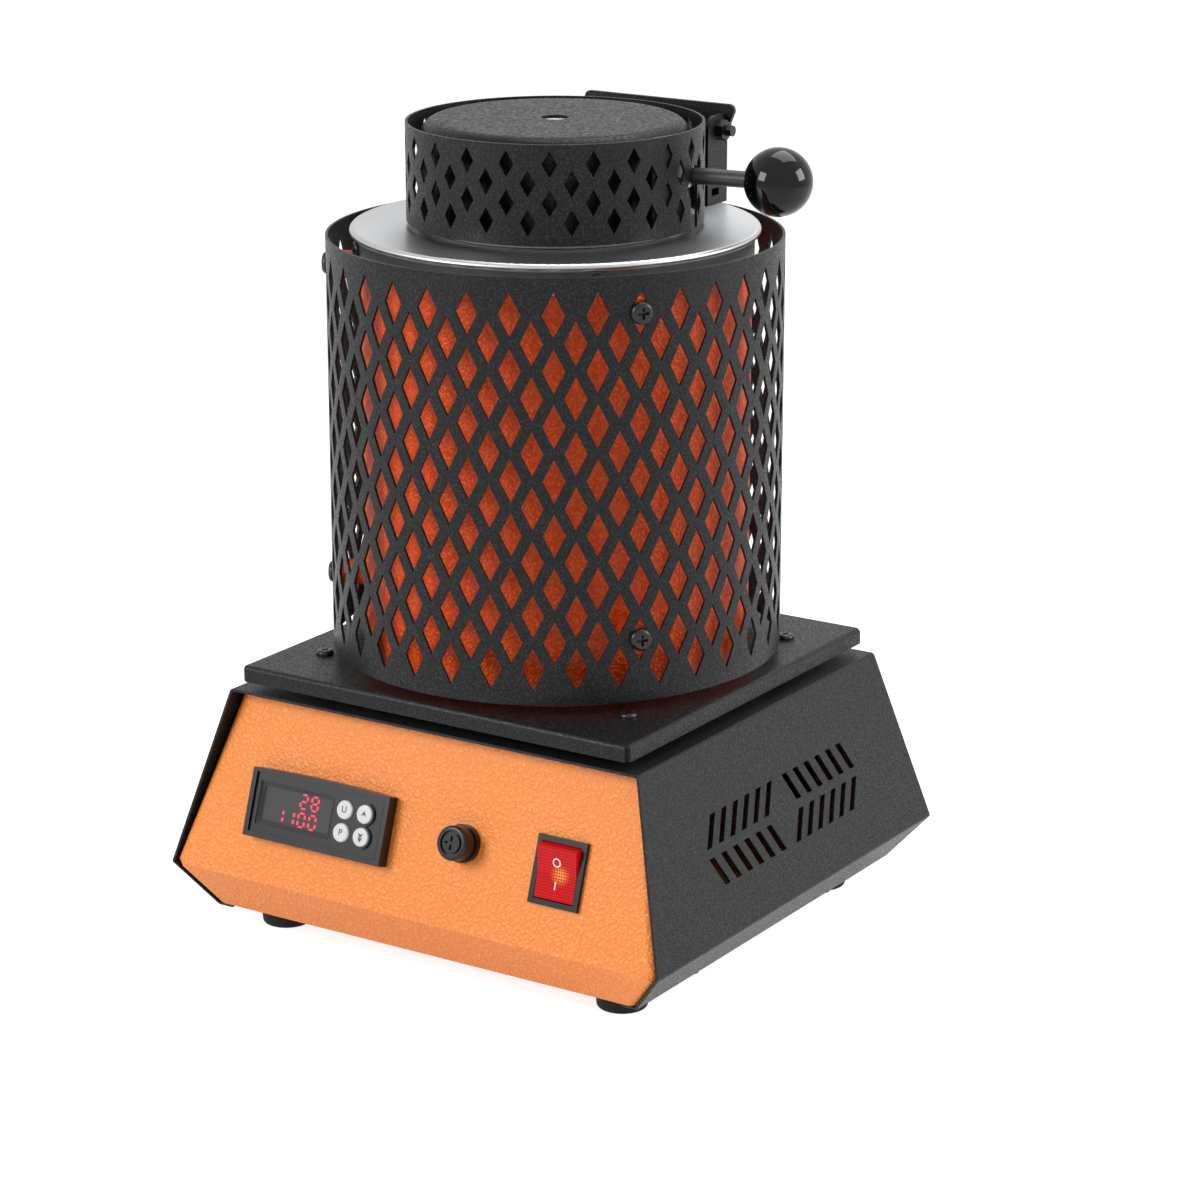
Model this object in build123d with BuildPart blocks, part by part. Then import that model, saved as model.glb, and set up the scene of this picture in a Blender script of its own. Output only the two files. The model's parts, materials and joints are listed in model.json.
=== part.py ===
from build123d import *
from math import atan2, cos, degrees, radians, sin, sqrt
import os

# Electric melting furnace for precious metal.  All sizes in millimetres.
# +Z is up, the front with its controls faces -Y.  The origin is on the bench,
# under the centre of the base.

os.makedirs("parts", exist_ok=True)

# ------------------------------------------------------------------ sheet and fits
sheet = 1.2  # folded steel of the base and the guards
tray_sheet = 1.5
plate = 2.0  # hinge leaf and bracket
fit = 0.05  # radial, shaft in its hole
seat = 0.05  # between curved faces that are clamped together
clearance = 0.3  # between pieces that move past or drop into each other
screw_gap = 0.25  # radial, screw in its clearance hole
hole_spare = 1.0  # depth of a blind hole or slot past what it takes

# ------------------------------------------------------------------ base
foot_height = 11.0
foot_diameter = 26.0
foot_draft = 1.5  # how much smaller the radius is at the bench
foot_recess = 6.0
foot_x = 94.5
foot_y = 90.0
base_width = 270.5  # at the waist, between the sharp lines of its fold
base_depth = 250.0
waist_z = 32.5
cover_top_z = 117.0
top_width = 225.0  # of the cover, at its top
top_depth = 211.0
bottom_width = 234.0
bottom_depth = 227.0
panel_recess = 9.0  # front and rear panel lie this far inside the cover at its top
fold_radius = 4.5  # of the panels' side folds
lip = 12.0  # folded edges of the chassis
cover_lip = 8.0  # of the cover, turned in under the chassis
sheet_bend = 1.9  # outer radius of the cover's bends
lip_screw_y = 60.0

# vent slots, two mirrored groups of chevrons on each side
slot_count = 6
slot_pitch = 10.0
slot_width = 4.4
slot_height = 14.2
slot_lean = 8.3  # sideways run of a slot over its height
slot_row_gap = 4.4
slot_reach = 67.0  # from the middle of the side to the outermost slot
slot_centre = 39.5  # up the slope from the waist

# ------------------------------------------------------------------ top plate
plate_width = 213.0
plate_depth = 209.0
plate_top_z = 129.0
plate_flange = 7.7
plate_bend = 2.2
corner_relief = 1.3
plate_screw_x = 84.3
plate_screw_y = 69.5
spacer_diameter = 11.0

# ------------------------------------------------------------------ fasteners
m3, m4, m5 = 3.0, 4.0, 5.0
recess = 0.5  # of the cross in a head, over its radius
recess_slot = 0.24  # width of its arms, over the head's radius
recess_depth = 0.7  # over the head's height
head_round = 0.7  # over the head's height
flat_head_ratio = 0.93  # countersunk head radius over thread diameter
head_ratio = 2.05  # pan head diameter over thread diameter
head_height_ratio = 0.56
nut_ratio = 1.7  # over the flats
nut_corner = nut_ratio / sqrt(3)  # from its middle to a corner
nut_height_ratio = 0.8
bolt_spare = 1.5  # length past a nut's seat, over thread diameter

# ------------------------------------------------------------------ furnace body
shell_radius = 90.0
shell_wall = 1.0
cap_sheet = 0.8
cap_top_z = 331.3
cap_skirt = 14.0
cap_radius = 94.0  # over the rolled bead of its rim
cap_mouth = 46.0
cap_screw_drop = 8.5
cap_screw_length = 4.5
cap_screw_angles = (45, 135, 225, 315)
chamber_radius = 44.0
muffle_wall = 10.0
coil_wire = 3.0
hearth_height = 40.0  # bottom insulation
chamber_floor = 10.0
coil_turns = 8
coil_pitch = 16.0
coil_first = 20.0  # first turn above the hearth
coil_end = 15.0  # angle from the rear to each end of a turn
lead_tube = 8.0
lead_length = 14.0  # inside the terminal block
probe_diameter = 4.5
probe_tail = 15.0  # below the cover's top
probe_collar = 6.0
body_bolt_radius = 70.0

crucible_height = 122.0
crucible_radius = 34.0
crucible_foot_radius = 30.0
crucible_wall = 7.0
crucible_collar = 38.0
crucible_collar_height = 9.0

# ------------------------------------------------------------------ heat guard
guard_radius = 105.0
guard_bottom_z = 134.2
guard_height = 193.5
guard_columns = 34
guard_rows = 14
guard_band = 6.6  # plain strip above and below the holes
diamond_width = 10.2
diamond_height = 20.0
guard_phase = -56.9  # angle of one hole in the top row
guard_screw_columns = (2, 13, -9)  # counted from that hole
guard_screw_rows = (0, 12)
guard_screw_length = 12.0
boss_diameter = 12.0

# ------------------------------------------------------------------ lid
lid_top_z = 380.0
pan_radius = 61.4
pan_height = 46.5
pan_corner = 8.0
pan_hole = 12.5
lid_gap = 0.3  # insulation above the cap when the lid is shut
ring_radius = 68.0
ring_bottom_z = 334.0
ring_height = 45.0
ring_columns = 22
ring_rows = 4
ring_band = 2.7  # plain strip above the holes, and below them
ring_plain = 4.4
ring_diamond_width = 7.0
ring_diamond_height = 12.0
ring_phase = -58.5
seam_angle = -11.0
seam_width = 12.0
seam_sheet = 1.0

handle_angle = 10.0
handle_z = 358.0
handle_reach = 108.0  # from the lid's axis to the middle of the ball
ball_radius = 15.5
ball_flat = 13.9  # from the middle of the ball to its flat
rod_diameter = 7.5
stud_diameter = 6.0
stud_depth = 10.0  # in the ball
stud_spare = 1.0  # of the stud past its inner nut
handle_nut = 4.6
keyhole = 9.5
slot_clear = 0.15  # beside the rod, each way

# ------------------------------------------------------------------ hinge
hinge_y = 82.7
hinge_z = 366.0
hinge_width = 74.0  # over the bracket's cheeks
hinge_washer = 0.5
leaf_bottom_z = 354.0
leaf_top_z = 372.0
leaf_screw_angle = 13.0
leaf_screw_length = 13.0
leaf_screw_sunk = 0.15
leaf_boss = 8.0
arm_rise = 2.0  # of each arm's upper edge above the pivot
arm_drop = 8.0
arm_boss = 4.5
cheek_front = 10.0  # from the pivot to the front edge
cheek_rise = 7.0
cheek_slot = (3.5, 6.5)  # height and width of the slot at the cheek's foot
web_y = 88.0  # front face of the bracket's web
web_top_z = 377.2
web_top_width = 86.0
web_flare_z = 363.0
web_corner = 3.0
bracket_screw_x = 20.0
bracket_screw_length = 9.0
bracket_screw_y = 79.5

# ------------------------------------------------------------------ controls
# Places on the panels: x across, s up the slope from the waist.
controller_x, controller_s = -54.0, 37.5
bezel_width = 78.0
bezel_height = 33.0
bezel_bow = 1.0
bezel_out = 6.5
bezel_rim = 2.6
bezel_pocket = 1.0
bezel_front = 2.0  # thickness of its face
case_width = 70.0
case_height = 28.0
case_depth = 52.0
case_wall = 1.5
window_width, window_height = 43.0, 20.0
window_x = -12.5
window_thick = 1.0
window_ledge = 2.0
display_depth = 4.0
board_thick = 1.6
clamp_depth = 6.0
clamp_border = 3.0
button_x = 21.0
button_diameter = 8.8
button_pitch_x, button_pitch_y = 11.2, 10.6
button_out = 1.3
button_travel = 0.8
button_flange = 0.8
button_thick = 1.5
button_round = 0.7  # of its edge, over how far it stands out
press_switch = 6.2  # side of each switch under a button
digit_height, digit_width = 6.4, 3.6
digit_pitch_x, digit_pitch_y = 6.2, 8.6
digit_bar = 0.75
digit_relief = 0.4

fuse_x, fuse_s = 24.4, 39.5
fuse_flange_radius = 8.75
fuse_flange = 3.0
fuse_cap_radius = 8.0
fuse_out = 10.9
fuse_thread_radius = 6.0
fuse_bore = 4.6
fuse_depth = 34.0
fuse_plug = 10.0  # of the cap, inside the holder
fuse_nut_ratio = 1.5  # over the flats, over the thread
fuse_glass_radius, fuse_length = 2.6, 20.0
cap_ring, cap_groove, cap_cross, cap_edge = 4.6, 1.1, 3.2, 1.5

switch_x, switch_s = 76.5, 36.5
switch_width, switch_height = 26.0, 31.0
switch_flange = 2.0
switch_border = 1.5
switch_depth = 26.0
switch_wall = 1.0
rocker_pivot = -1.0  # its pin, from the panel's face
rocker_end = 5.0  # height of its ridges above the pin
rocker_dip = 3.4  # and of its middle
rocker_under = 4.0  # from the pin to its underside
rocker_tilt = 10.0
rocker_pin = 3.0
tab_width, tab_thick, tab_length, tab_pitch = 6.3, 0.8, 9.0, 8.0

inlet_x, inlet_s = 62.0, 24.0
inlet_width, inlet_height = 50.0, 24.0
inlet_flange = 2.5
inlet_body_width, inlet_body_height = 28.0, 20.0
inlet_depth = 24.0
socket_width, socket_height, socket_depth = 24.5, 16.6, 16.5
socket_corner = 4.0
inlet_screw_pitch = 40.0
pin_pitch, pin_rise = 14.0, 4.0
pin_width, pin_thick, pin_length = 4.0, 2.0, 12.0

relay_x, relay_y = -50.0, 25.0
relay_width, relay_depth, relay_height = 58.0, 45.0, 27.0
relay_screw_pitch = 48.0
relay_ear = 5.0
sink_width, sink_depth, sink_plate = 78.0, 62.0, 4.0
sink_fin, sink_fin_height = 3.0, 20.0
terminal_pitch = 8.5  # of the screw terminals on the controller's back
terminal_gap = 1.5
terminal_count = 7  # in each of two rows
block_width, block_depth, block_height = 44.0, 22.0, 20.0
block_screw_pitch = 34.0

# ------------------------------------------------------------------ derived places
floor_z = foot_height + sheet + clearance  # underside of the chassis
floor_top = floor_z + sheet
cover_under = cover_top_z - sheet
plate_under = plate_top_z - tray_sheet
hearth_base = plate_top_z + shell_wall
hearth_z = hearth_base + hearth_height
crucible_z = hearth_z + chamber_floor
shell_top = cap_top_z - cap_sheet
skirt_inner = shell_radius + clearance
skirt_outer = skirt_inner + cap_sheet
cap_screw_z = cap_top_z - cap_screw_drop
bead_radius = (cap_radius - skirt_inner) / 2
muffle_radius = chamber_radius + muffle_wall
coil_radius = muffle_radius + clearance + coil_wire / 2
insulation_bore = coil_radius + coil_wire / 2 + clearance
insulation_radius = shell_radius - shell_wall - clearance
guard_inner = guard_radius - sheet
guard_step = 360 / guard_columns
guard_top_row = guard_bottom_z + guard_height - guard_band - diamond_height / 2
guard_pitch = (guard_height - 2 * guard_band - diamond_height) / (guard_rows - 1)
ring_inner = ring_radius - sheet
ring_step = 360 / ring_columns
ring_pitch = (ring_height - ring_plain - ring_band - ring_diamond_height) / (ring_rows - 1)
ring_top_row = ring_bottom_z + ring_height - ring_band - ring_diamond_height / 2
pan_bottom_z = lid_top_z - pan_height
pan_inner = pan_radius - sheet
leaf_inner = ring_radius + seat
leaf_outer = leaf_inner + plate
cheek_x = hinge_width / 2 - plate  # inner face of each cheek
arm_x = cheek_x - hinge_washer - 2 * fit - plate  # inner face of each arm
panel_top_y = top_depth / 2 - panel_recess
panel_tilt = atan2(base_depth / 2 - panel_top_y, cover_top_z - waist_z)
side_tilt = atan2(base_width / 2 - top_width / 2, cover_top_z - waist_z)
lead_angles = (90, 90 + coil_end)
block_x = coil_radius * sum(cos(radians(angle)) for angle in lead_angles) / 2
block_y = coil_radius * sum(sin(radians(angle)) for angle in lead_angles) / 2
switch_body_width = switch_width - 2 * switch_border
switch_body_height = switch_height - 2 * switch_border
plate_screw_places = [
    (x, y) for x in (-plate_screw_x, plate_screw_x) for y in (-plate_screw_y, plate_screw_y)
]
foot_places = [(x, y) for x in (-foot_x, foot_x) for y in (-foot_y, foot_y)]
lip_screw_x = bottom_width / 2 - cover_lip / 2


# ------------------------------------------------------------------ tools
def finish(piece, name):
    """Label a finished sub-part and write its file."""
    piece.part.label = name
    export_step(piece.part, f"parts/{name}.step")


def polar(angle, radius, z=0.0):
    """Place that faces outwards at an angle and a radius about the body's axis."""
    out = Vector(cos(radians(angle)), sin(radians(angle)), 0)
    return Plane(origin=out * radius + Vector(0, 0, z), x_dir=(-out.Y, out.X, 0), z_dir=out)


def front_place(x, s, out=0.0):
    """Place on the front panel: x across, s up the slope from the waist."""
    origin = (x, s * sin(panel_tilt) - base_depth / 2, waist_z + s * cos(panel_tilt))
    plane = Plane(origin=origin, x_dir=(1, 0, 0), z_dir=(0, -cos(panel_tilt), sin(panel_tilt)))
    return plane.offset(out)


def rear_place(x, s, out=0.0):
    """Place on the rear panel, the front panel's mirror image."""
    origin = (x, base_depth / 2 - s * sin(panel_tilt), waist_z + s * cos(panel_tilt))
    plane = Plane(origin=origin, x_dir=(-1, 0, 0), z_dir=(0, cos(panel_tilt), sin(panel_tilt)))
    return plane.offset(out)


def downwards(x, y, z):
    """Place that faces down."""
    return Plane(origin=(x, y, z), z_dir=(0, 0, -1))


def pan_screw(size, length):
    """Pan head cross screw: its seat at the origin, its head towards +Z."""
    head_radius = size * head_ratio / 2
    head_height = size * head_height_ratio
    with BuildPart() as screw:
        with BuildSketch():
            Circle(head_radius)
        extrude(amount=head_height)
        fillet(screw.edges().sort_by(Axis.Z)[-1], head_height * head_round)
        with BuildSketch():
            Circle(size / 2)
        extrude(amount=-length)
        with BuildSketch(Plane.XY.offset(head_height)):
            Rectangle(2 * recess * head_radius, recess_slot * head_radius)
            Rectangle(recess_slot * head_radius, 2 * recess * head_radius)
        extrude(amount=-head_height * recess_depth, mode=Mode.SUBTRACT)
    return screw.part


def flat_screw(size, length):
    """Countersunk cross screw: its flat top at the origin."""
    head_radius = size * flat_head_ratio
    head_height = head_radius - size / 2
    with BuildPart() as screw:
        with BuildSketch(Plane.XY.offset(-head_height)):
            Circle(size / 2)
        with BuildSketch():
            Circle(head_radius)
        loft()
        with BuildSketch(Plane.XY.offset(-head_height)):
            Circle(size / 2)
        extrude(amount=head_height - length)
        with BuildSketch():
            Rectangle(2 * recess * head_radius, recess_slot * head_radius)
            Rectangle(recess_slot * head_radius, 2 * recess * head_radius)
        extrude(amount=-head_height * recess_depth, mode=Mode.SUBTRACT)
    return screw.part


def hex_nut(size, height=None):
    """Nut on its screw: its seat at the origin, its body towards +Z."""
    with BuildPart() as nut:
        with BuildSketch():
            RegularPolygon(size * nut_ratio / 2, 6, major_radius=False)
            Circle(size / 2 + fit, mode=Mode.SUBTRACT)
        extrude(amount=height or size * nut_height_ratio)
    return nut.part


def base_outline(bottom, waist, top, inset):
    """Six-sided outline of the base, its low edge, waist and top given as widths."""
    Polygon(
        (-bottom / 2, foot_height),
        (bottom / 2, foot_height),
        (waist / 2, waist_z),
        (top / 2, cover_top_z),
        (-top / 2, cover_top_z),
        (-waist / 2, waist_z),
        align=None,
    )
    if inset:
        offset(amount=-inset, kind=Kind.INTERSECTION)


def chassis_block(inset):
    """Solid block of the chassis inside the cover, drawn in by an inset."""
    with BuildPart() as block:
        with BuildSketch(Plane.XZ):
            base_outline(bottom_width, base_width, top_width, sheet + clearance + inset)
        extrude(amount=base_depth, both=True)
        with BuildSketch(Plane.YZ):
            base_outline(bottom_depth, base_depth, 2 * panel_top_y, inset)
        extrude(amount=base_width, both=True, mode=Mode.INTERSECT)
        square = 0.01  # an edge slants if no part of its direction is smaller
        slanting = block.edges().filter_by(lambda edge: min(abs(part) for part in tuple(edge % 0.5)) > square)
        fillet(slanting, fold_radius - inset)
    return block.part


def diamonds(width, height, places):
    """Sketch of diamond holes, one at each place."""
    with Locations(*places):
        Polygon((width / 2, 0), (0, height / 2), (-width / 2, 0), (0, -height / 2), align=None)


# ------------------------------------------------------------------ base
with BuildPart() as base_chassis:
    add(chassis_block(0.0))
    add(chassis_block(sheet), mode=Mode.SUBTRACT)
    # the sides and the top are open, inside narrow folded edges
    with BuildSketch(Plane.YZ):
        Polygon(
            (lip - base_depth / 2, floor_top + lip),
            (lip - base_depth / 2, waist_z),
            (lip - panel_top_y, cover_top_z),
            (panel_top_y - lip, cover_top_z),
            (base_depth / 2 - lip, waist_z),
            (base_depth / 2 - lip, floor_top + lip),
            align=None,
        )
    extrude(amount=base_width, both=True, mode=Mode.SUBTRACT)
    with BuildSketch(Plane.XY.offset(floor_z)):
        with Locations(*foot_places):
            Circle(m4 / 2 + screw_gap)
        with GridLocations(2 * lip_screw_x, 2 * lip_screw_y, 2, 2):
            Circle(m3 / 2 + fit)
        with Locations((relay_x, relay_y)), GridLocations(relay_screw_pitch, 0, 2, 1):
            Circle(m4 / 2 + fit)
    extrude(amount=sheet, mode=Mode.SUBTRACT)
    with BuildSketch(front_place(controller_x, controller_s)):
        Rectangle(case_width + 2 * clearance, case_height + 2 * clearance)
    with BuildSketch(front_place(fuse_x, fuse_s)):
        Circle(fuse_thread_radius + clearance)
    with BuildSketch(front_place(switch_x, switch_s)):
        Rectangle(switch_body_width + 2 * clearance, switch_body_height + 2 * clearance)
    with BuildSketch(rear_place(inlet_x, inlet_s)):
        Rectangle(inlet_body_width + 2 * clearance, inlet_body_height + 2 * clearance)
        with GridLocations(inlet_screw_pitch, 0, 2, 1):
            Circle(m3 / 2 + fit)
    extrude(amount=-2 * sheet, mode=Mode.SUBTRACT)
finish(base_chassis, "base_chassis")

with BuildPart() as base_cover:
    with BuildSketch(Plane.XZ):
        base_outline(bottom_width, base_width, top_width, 0.0)
        fillet(vertices(), sheet_bend)
    extrude(amount=base_depth, both=True)
    with BuildSketch(Plane.XZ):
        base_outline(bottom_width, base_width, top_width, sheet)
        fillet(vertices(), sheet_bend - sheet)
    extrude(amount=base_depth, both=True, mode=Mode.SUBTRACT)
    with BuildSketch(Plane.XY.offset(foot_height)):
        Rectangle(bottom_width - 2 * cover_lip, 2 * base_depth)
        with GridLocations(2 * lip_screw_x, 2 * lip_screw_y, 2, 2):
            Circle(m3 / 2 + screw_gap)
    extrude(amount=sheet, mode=Mode.SUBTRACT)
    with BuildSketch(Plane.YZ):
        base_outline(bottom_depth, base_depth, top_depth, 0.0)
    extrude(amount=base_width, both=True, mode=Mode.INTERSECT)
    # vent slots: chevrons that point away from the middle of each side
    for side in (-1, 1):
        out = Vector(side * cos(side_tilt), 0, sin(side_tilt))
        wall = Plane(origin=(side * base_width / 2, 0, waist_z), x_dir=(0, side, 0), z_dir=out)
        with BuildSketch(wall.shift_origin(wall.from_local_coords(Vector(0, slot_centre, 0)))):
            for half in (-1, 1):
                for row in (-1, 1):
                    for number in range(slot_count):
                        tip = half * (slot_reach - number * slot_pitch)
                        low, high = row * slot_row_gap / 2, row * (slot_row_gap / 2 + slot_height)
                        Polygon(
                            (tip, low),
                            (tip - half * slot_width, low),
                            (tip - half * (slot_width + slot_lean), high),
                            (tip - half * slot_lean, high),
                            align=None,
                        )
        extrude(amount=2 * sheet, both=True, mode=Mode.SUBTRACT)
    with BuildSketch(Plane.XY.offset(cover_top_z)):
        with Locations(*plate_screw_places):
            Circle(m4 / 2 + screw_gap)
        with PolarLocations(coil_radius, 2, lead_angles[0], coil_end, endpoint=True):
            Circle(lead_tube / 2 + clearance)
        Circle(probe_diameter / 2 + screw_gap)
        with Locations((block_x, block_y)), GridLocations(block_screw_pitch, 0, 2, 1):
            Circle(m3 / 2 + screw_gap)
    extrude(amount=-sheet, mode=Mode.SUBTRACT)
finish(base_cover, "base_cover")

with BuildPart() as cover_screws:
    for x, y in [(x, y) for x in (-lip_screw_x, lip_screw_x) for y in (-lip_screw_y, lip_screw_y)]:
        with Locations(downwards(x, y, foot_height)):
            add(pan_screw(m3, floor_top - foot_height + m3))
finish(cover_screws, "cover_screws")

with BuildPart() as rubber_feet:
    with BuildSketch(Plane.XY.offset(floor_z)):
        with Locations(*foot_places):
            Circle(foot_diameter / 2)
    extrude(amount=-floor_z, taper=degrees(atan2(foot_draft, floor_z)))
    fillet(rubber_feet.edges().group_by(Axis.Z)[0], foot_draft)
    with BuildSketch():
        with Locations(*foot_places):
            Circle(m4 * head_ratio / 2 + clearance)
    extrude(amount=foot_recess, mode=Mode.SUBTRACT)
    with BuildSketch():
        with Locations(*foot_places):
            Circle(m4 / 2 + screw_gap)
    extrude(amount=floor_z, mode=Mode.SUBTRACT)
finish(rubber_feet, "rubber_feet")

with BuildPart() as foot_screws:
    for x, y in foot_places:
        with Locations(downwards(x, y, foot_recess)):
            add(pan_screw(m4, floor_top - foot_recess + m4))
        with Locations((x, y, floor_top)):
            add(hex_nut(m4))
finish(foot_screws, "foot_screws")

# ------------------------------------------------------------------ top plate
with BuildPart() as top_plate:
    with BuildSketch(Plane.XY.offset(plate_top_z - plate_flange)):
        Rectangle(plate_width, plate_depth)
    extrude(amount=plate_flange)
    fillet(top_plate.edges().group_by(Axis.Z)[-1], plate_bend)
    with BuildSketch(Plane.XY.offset(plate_top_z - plate_flange)):
        Rectangle(plate_width - 2 * tray_sheet, plate_depth - 2 * tray_sheet)
    extrude(amount=plate_flange - tray_sheet, mode=Mode.SUBTRACT)
    with BuildSketch(Plane.XY.offset(plate_top_z - plate_flange)):
        with GridLocations(plate_width - tray_sheet, plate_depth - tray_sheet, 2, 2):
            Circle(corner_relief)
        with Locations(*plate_screw_places):
            Circle(m4 / 2 + screw_gap)
        with PolarLocations(body_bolt_radius, 4, 45):
            Circle(m5 / 2 + screw_gap)
        with PolarLocations(coil_radius, 2, lead_angles[0], coil_end, endpoint=True):
            Circle(lead_tube / 2 + clearance)
        Circle(probe_diameter / 2 + screw_gap)
    extrude(amount=plate_flange, mode=Mode.SUBTRACT)
finish(top_plate, "top_plate")

with BuildPart() as plate_spacers:
    with BuildSketch(Plane.XY.offset(cover_top_z)):
        with Locations(*plate_screw_places):
            Circle(spacer_diameter / 2)
            Circle(m4 / 2 + screw_gap, mode=Mode.SUBTRACT)
    extrude(amount=plate_under - cover_top_z)
finish(plate_spacers, "plate_spacers")

with BuildPart() as plate_screws:
    with Locations(*[(x, y, plate_top_z) for x, y in plate_screw_places]):
        add(pan_screw(m4, plate_top_z - cover_under + m4))
    for x, y in plate_screw_places:
        with Locations(downwards(x, y, cover_under)):
            add(hex_nut(m4))
finish(plate_screws, "plate_screws")

# ------------------------------------------------------------------ furnace body
with BuildPart() as furnace_shell:
    with BuildSketch(Plane.XY.offset(plate_top_z)):
        Circle(shell_radius)
    extrude(amount=shell_top - plate_top_z)
    with BuildSketch(Plane.XY.offset(hearth_base)):
        Circle(shell_radius - shell_wall)
    extrude(amount=shell_top - hearth_base, mode=Mode.SUBTRACT)
    with BuildSketch(Plane.XY.offset(plate_top_z)):
        with PolarLocations(body_bolt_radius, 4, 45):
            Circle(m5 / 2 + screw_gap)
        with PolarLocations(coil_radius, 2, lead_angles[0], coil_end, endpoint=True):
            Circle(lead_tube / 2 + clearance)
        Circle(probe_diameter / 2 + screw_gap)
    extrude(amount=shell_wall, mode=Mode.SUBTRACT)
    with BuildSketch(*[polar(angle, shell_radius, cap_screw_z) for angle in cap_screw_angles]):
        Circle(m4 / 2 + fit)
    extrude(amount=2 * shell_wall, both=True, mode=Mode.SUBTRACT)
finish(furnace_shell, "furnace_shell")

with BuildPart() as body_bolts:
    with PolarLocations(body_bolt_radius, 4, 45):
        with Locations(downwards(0, 0, plate_under)):
            add(pan_screw(m5, hearth_base - plate_under + m5))
        with Locations((0, 0, hearth_base)):
            add(hex_nut(m5))
finish(body_bolts, "body_bolts")

with BuildPart() as bottom_insulation:
    with BuildSketch(Plane.XY.offset(hearth_base)):
        Circle(insulation_radius)
        with PolarLocations(coil_radius, 2, lead_angles[0], coil_end, endpoint=True):
            Circle(lead_tube / 2 + fit, mode=Mode.SUBTRACT)
        Circle(probe_diameter / 2 + fit, mode=Mode.SUBTRACT)
    extrude(amount=hearth_height)
    with BuildSketch(Plane.XY.offset(hearth_base)):
        with PolarLocations(body_bolt_radius, 4, 45):
            Circle(m5 * nut_corner + clearance)
    extrude(amount=m5 + clearance, mode=Mode.SUBTRACT)
finish(bottom_insulation, "bottom_insulation")

with BuildPart() as side_insulation:
    with BuildSketch(Plane.XY.offset(hearth_z)):
        Circle(insulation_radius)
        Circle(insulation_bore, mode=Mode.SUBTRACT)
    extrude(amount=shell_top - clearance - hearth_z)
    with BuildSketch(*[polar(angle, insulation_radius, cap_screw_z) for angle in cap_screw_angles]):
        Circle(m4 / 2 + screw_gap)
    extrude(amount=cap_screw_length, both=True, mode=Mode.SUBTRACT)
    with BuildSketch(Plane.XY.offset(shell_top)):
        with Locations((0, bracket_screw_y)), GridLocations(2 * bracket_screw_x, 0, 2, 1):
            Circle(m4 * nut_corner + clearance)
    extrude(amount=-bracket_screw_length, mode=Mode.SUBTRACT)
finish(side_insulation, "side_insulation")

with BuildPart() as muffle:
    with BuildSketch(Plane.XY.offset(hearth_z)):
        Circle(muffle_radius)
    extrude(amount=shell_top - clearance - hearth_z)
    with BuildSketch(Plane.XY.offset(hearth_z + chamber_floor)):
        Circle(chamber_radius)
    extrude(amount=shell_top - hearth_z, mode=Mode.SUBTRACT)
finish(muffle, "muffle")

# a serpentine winding: open turns, joined by upright runs beside the gap
with BuildPart() as heating_coil:
    first_turn = hearth_z + coil_first
    last_turn = first_turn + (coil_turns - 1) * coil_pitch
    lead_bottom = cover_under - lead_length
    for turn in range(coil_turns):
        level = first_turn + turn * coil_pitch
        with Locations(Location((0, 0, level), (0, 0, 90 + coil_end))):
            Torus(coil_radius, coil_wire / 2, major_angle=360 - 2 * coil_end, align=None)
        ends = (90 - coil_end, 90 + coil_end)
        with Locations(*[polar(angle, coil_radius, level) for angle in ends]):
            Sphere(coil_wire / 2)
        if turn:
            corner = ends[turn % 2 == 0]
            with Locations(Location(polar(corner, coil_radius, level).origin)):
                Cylinder(coil_wire / 2, coil_pitch, align=(Align.CENTER, Align.CENTER, Align.MAX))
    with Locations(Location((0, 0, last_turn), (0, 0, 90))):
        Torus(coil_radius, coil_wire / 2, major_angle=coil_end, align=None)
    for angle, top in zip(lead_angles, (last_turn, first_turn)):
        with Locations(Location(polar(angle, coil_radius, top).origin)):
            Sphere(coil_wire / 2)
            Cylinder(coil_wire / 2, top - lead_bottom, align=(Align.CENTER, Align.CENTER, Align.MAX))
finish(heating_coil, "heating_coil")

with BuildPart() as lead_insulators:
    with BuildSketch(Plane.XY.offset(cover_under)):
        with PolarLocations(coil_radius, 2, lead_angles[0], coil_end, endpoint=True):
            Circle(lead_tube / 2)
            Circle(coil_wire / 2 + fit, mode=Mode.SUBTRACT)
    extrude(amount=hearth_z - cover_under)
finish(lead_insulators, "lead_insulators")

with BuildPart() as thermocouple:
    with BuildSketch(Plane.XY.offset(cover_top_z - probe_tail)):
        Circle(probe_diameter / 2)
    extrude(amount=hearth_z - clearance - cover_top_z + probe_tail)
    with BuildSketch(Plane.XY.offset(plate_under)):
        RegularPolygon(probe_collar, 6, major_radius=False)
    extrude(amount=-probe_collar)
finish(thermocouple, "thermocouple")

with BuildPart() as crucible:
    with BuildSketch(Plane.XZ):
        with BuildLine():
            Polyline(
                (0, crucible_z),
                (crucible_foot_radius, crucible_z),
                (crucible_radius, crucible_z + crucible_height - crucible_collar_height),
                (crucible_collar, crucible_z + crucible_height - crucible_collar_height),
                (crucible_collar, crucible_z + crucible_height),
                (crucible_radius - crucible_wall, crucible_z + crucible_height),
                (crucible_foot_radius - crucible_wall, crucible_z + crucible_wall),
                (0, crucible_z + crucible_wall),
                close=True,
            )
        make_face()
    revolve(axis=Axis.Z)
finish(crucible, "crucible")

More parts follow.
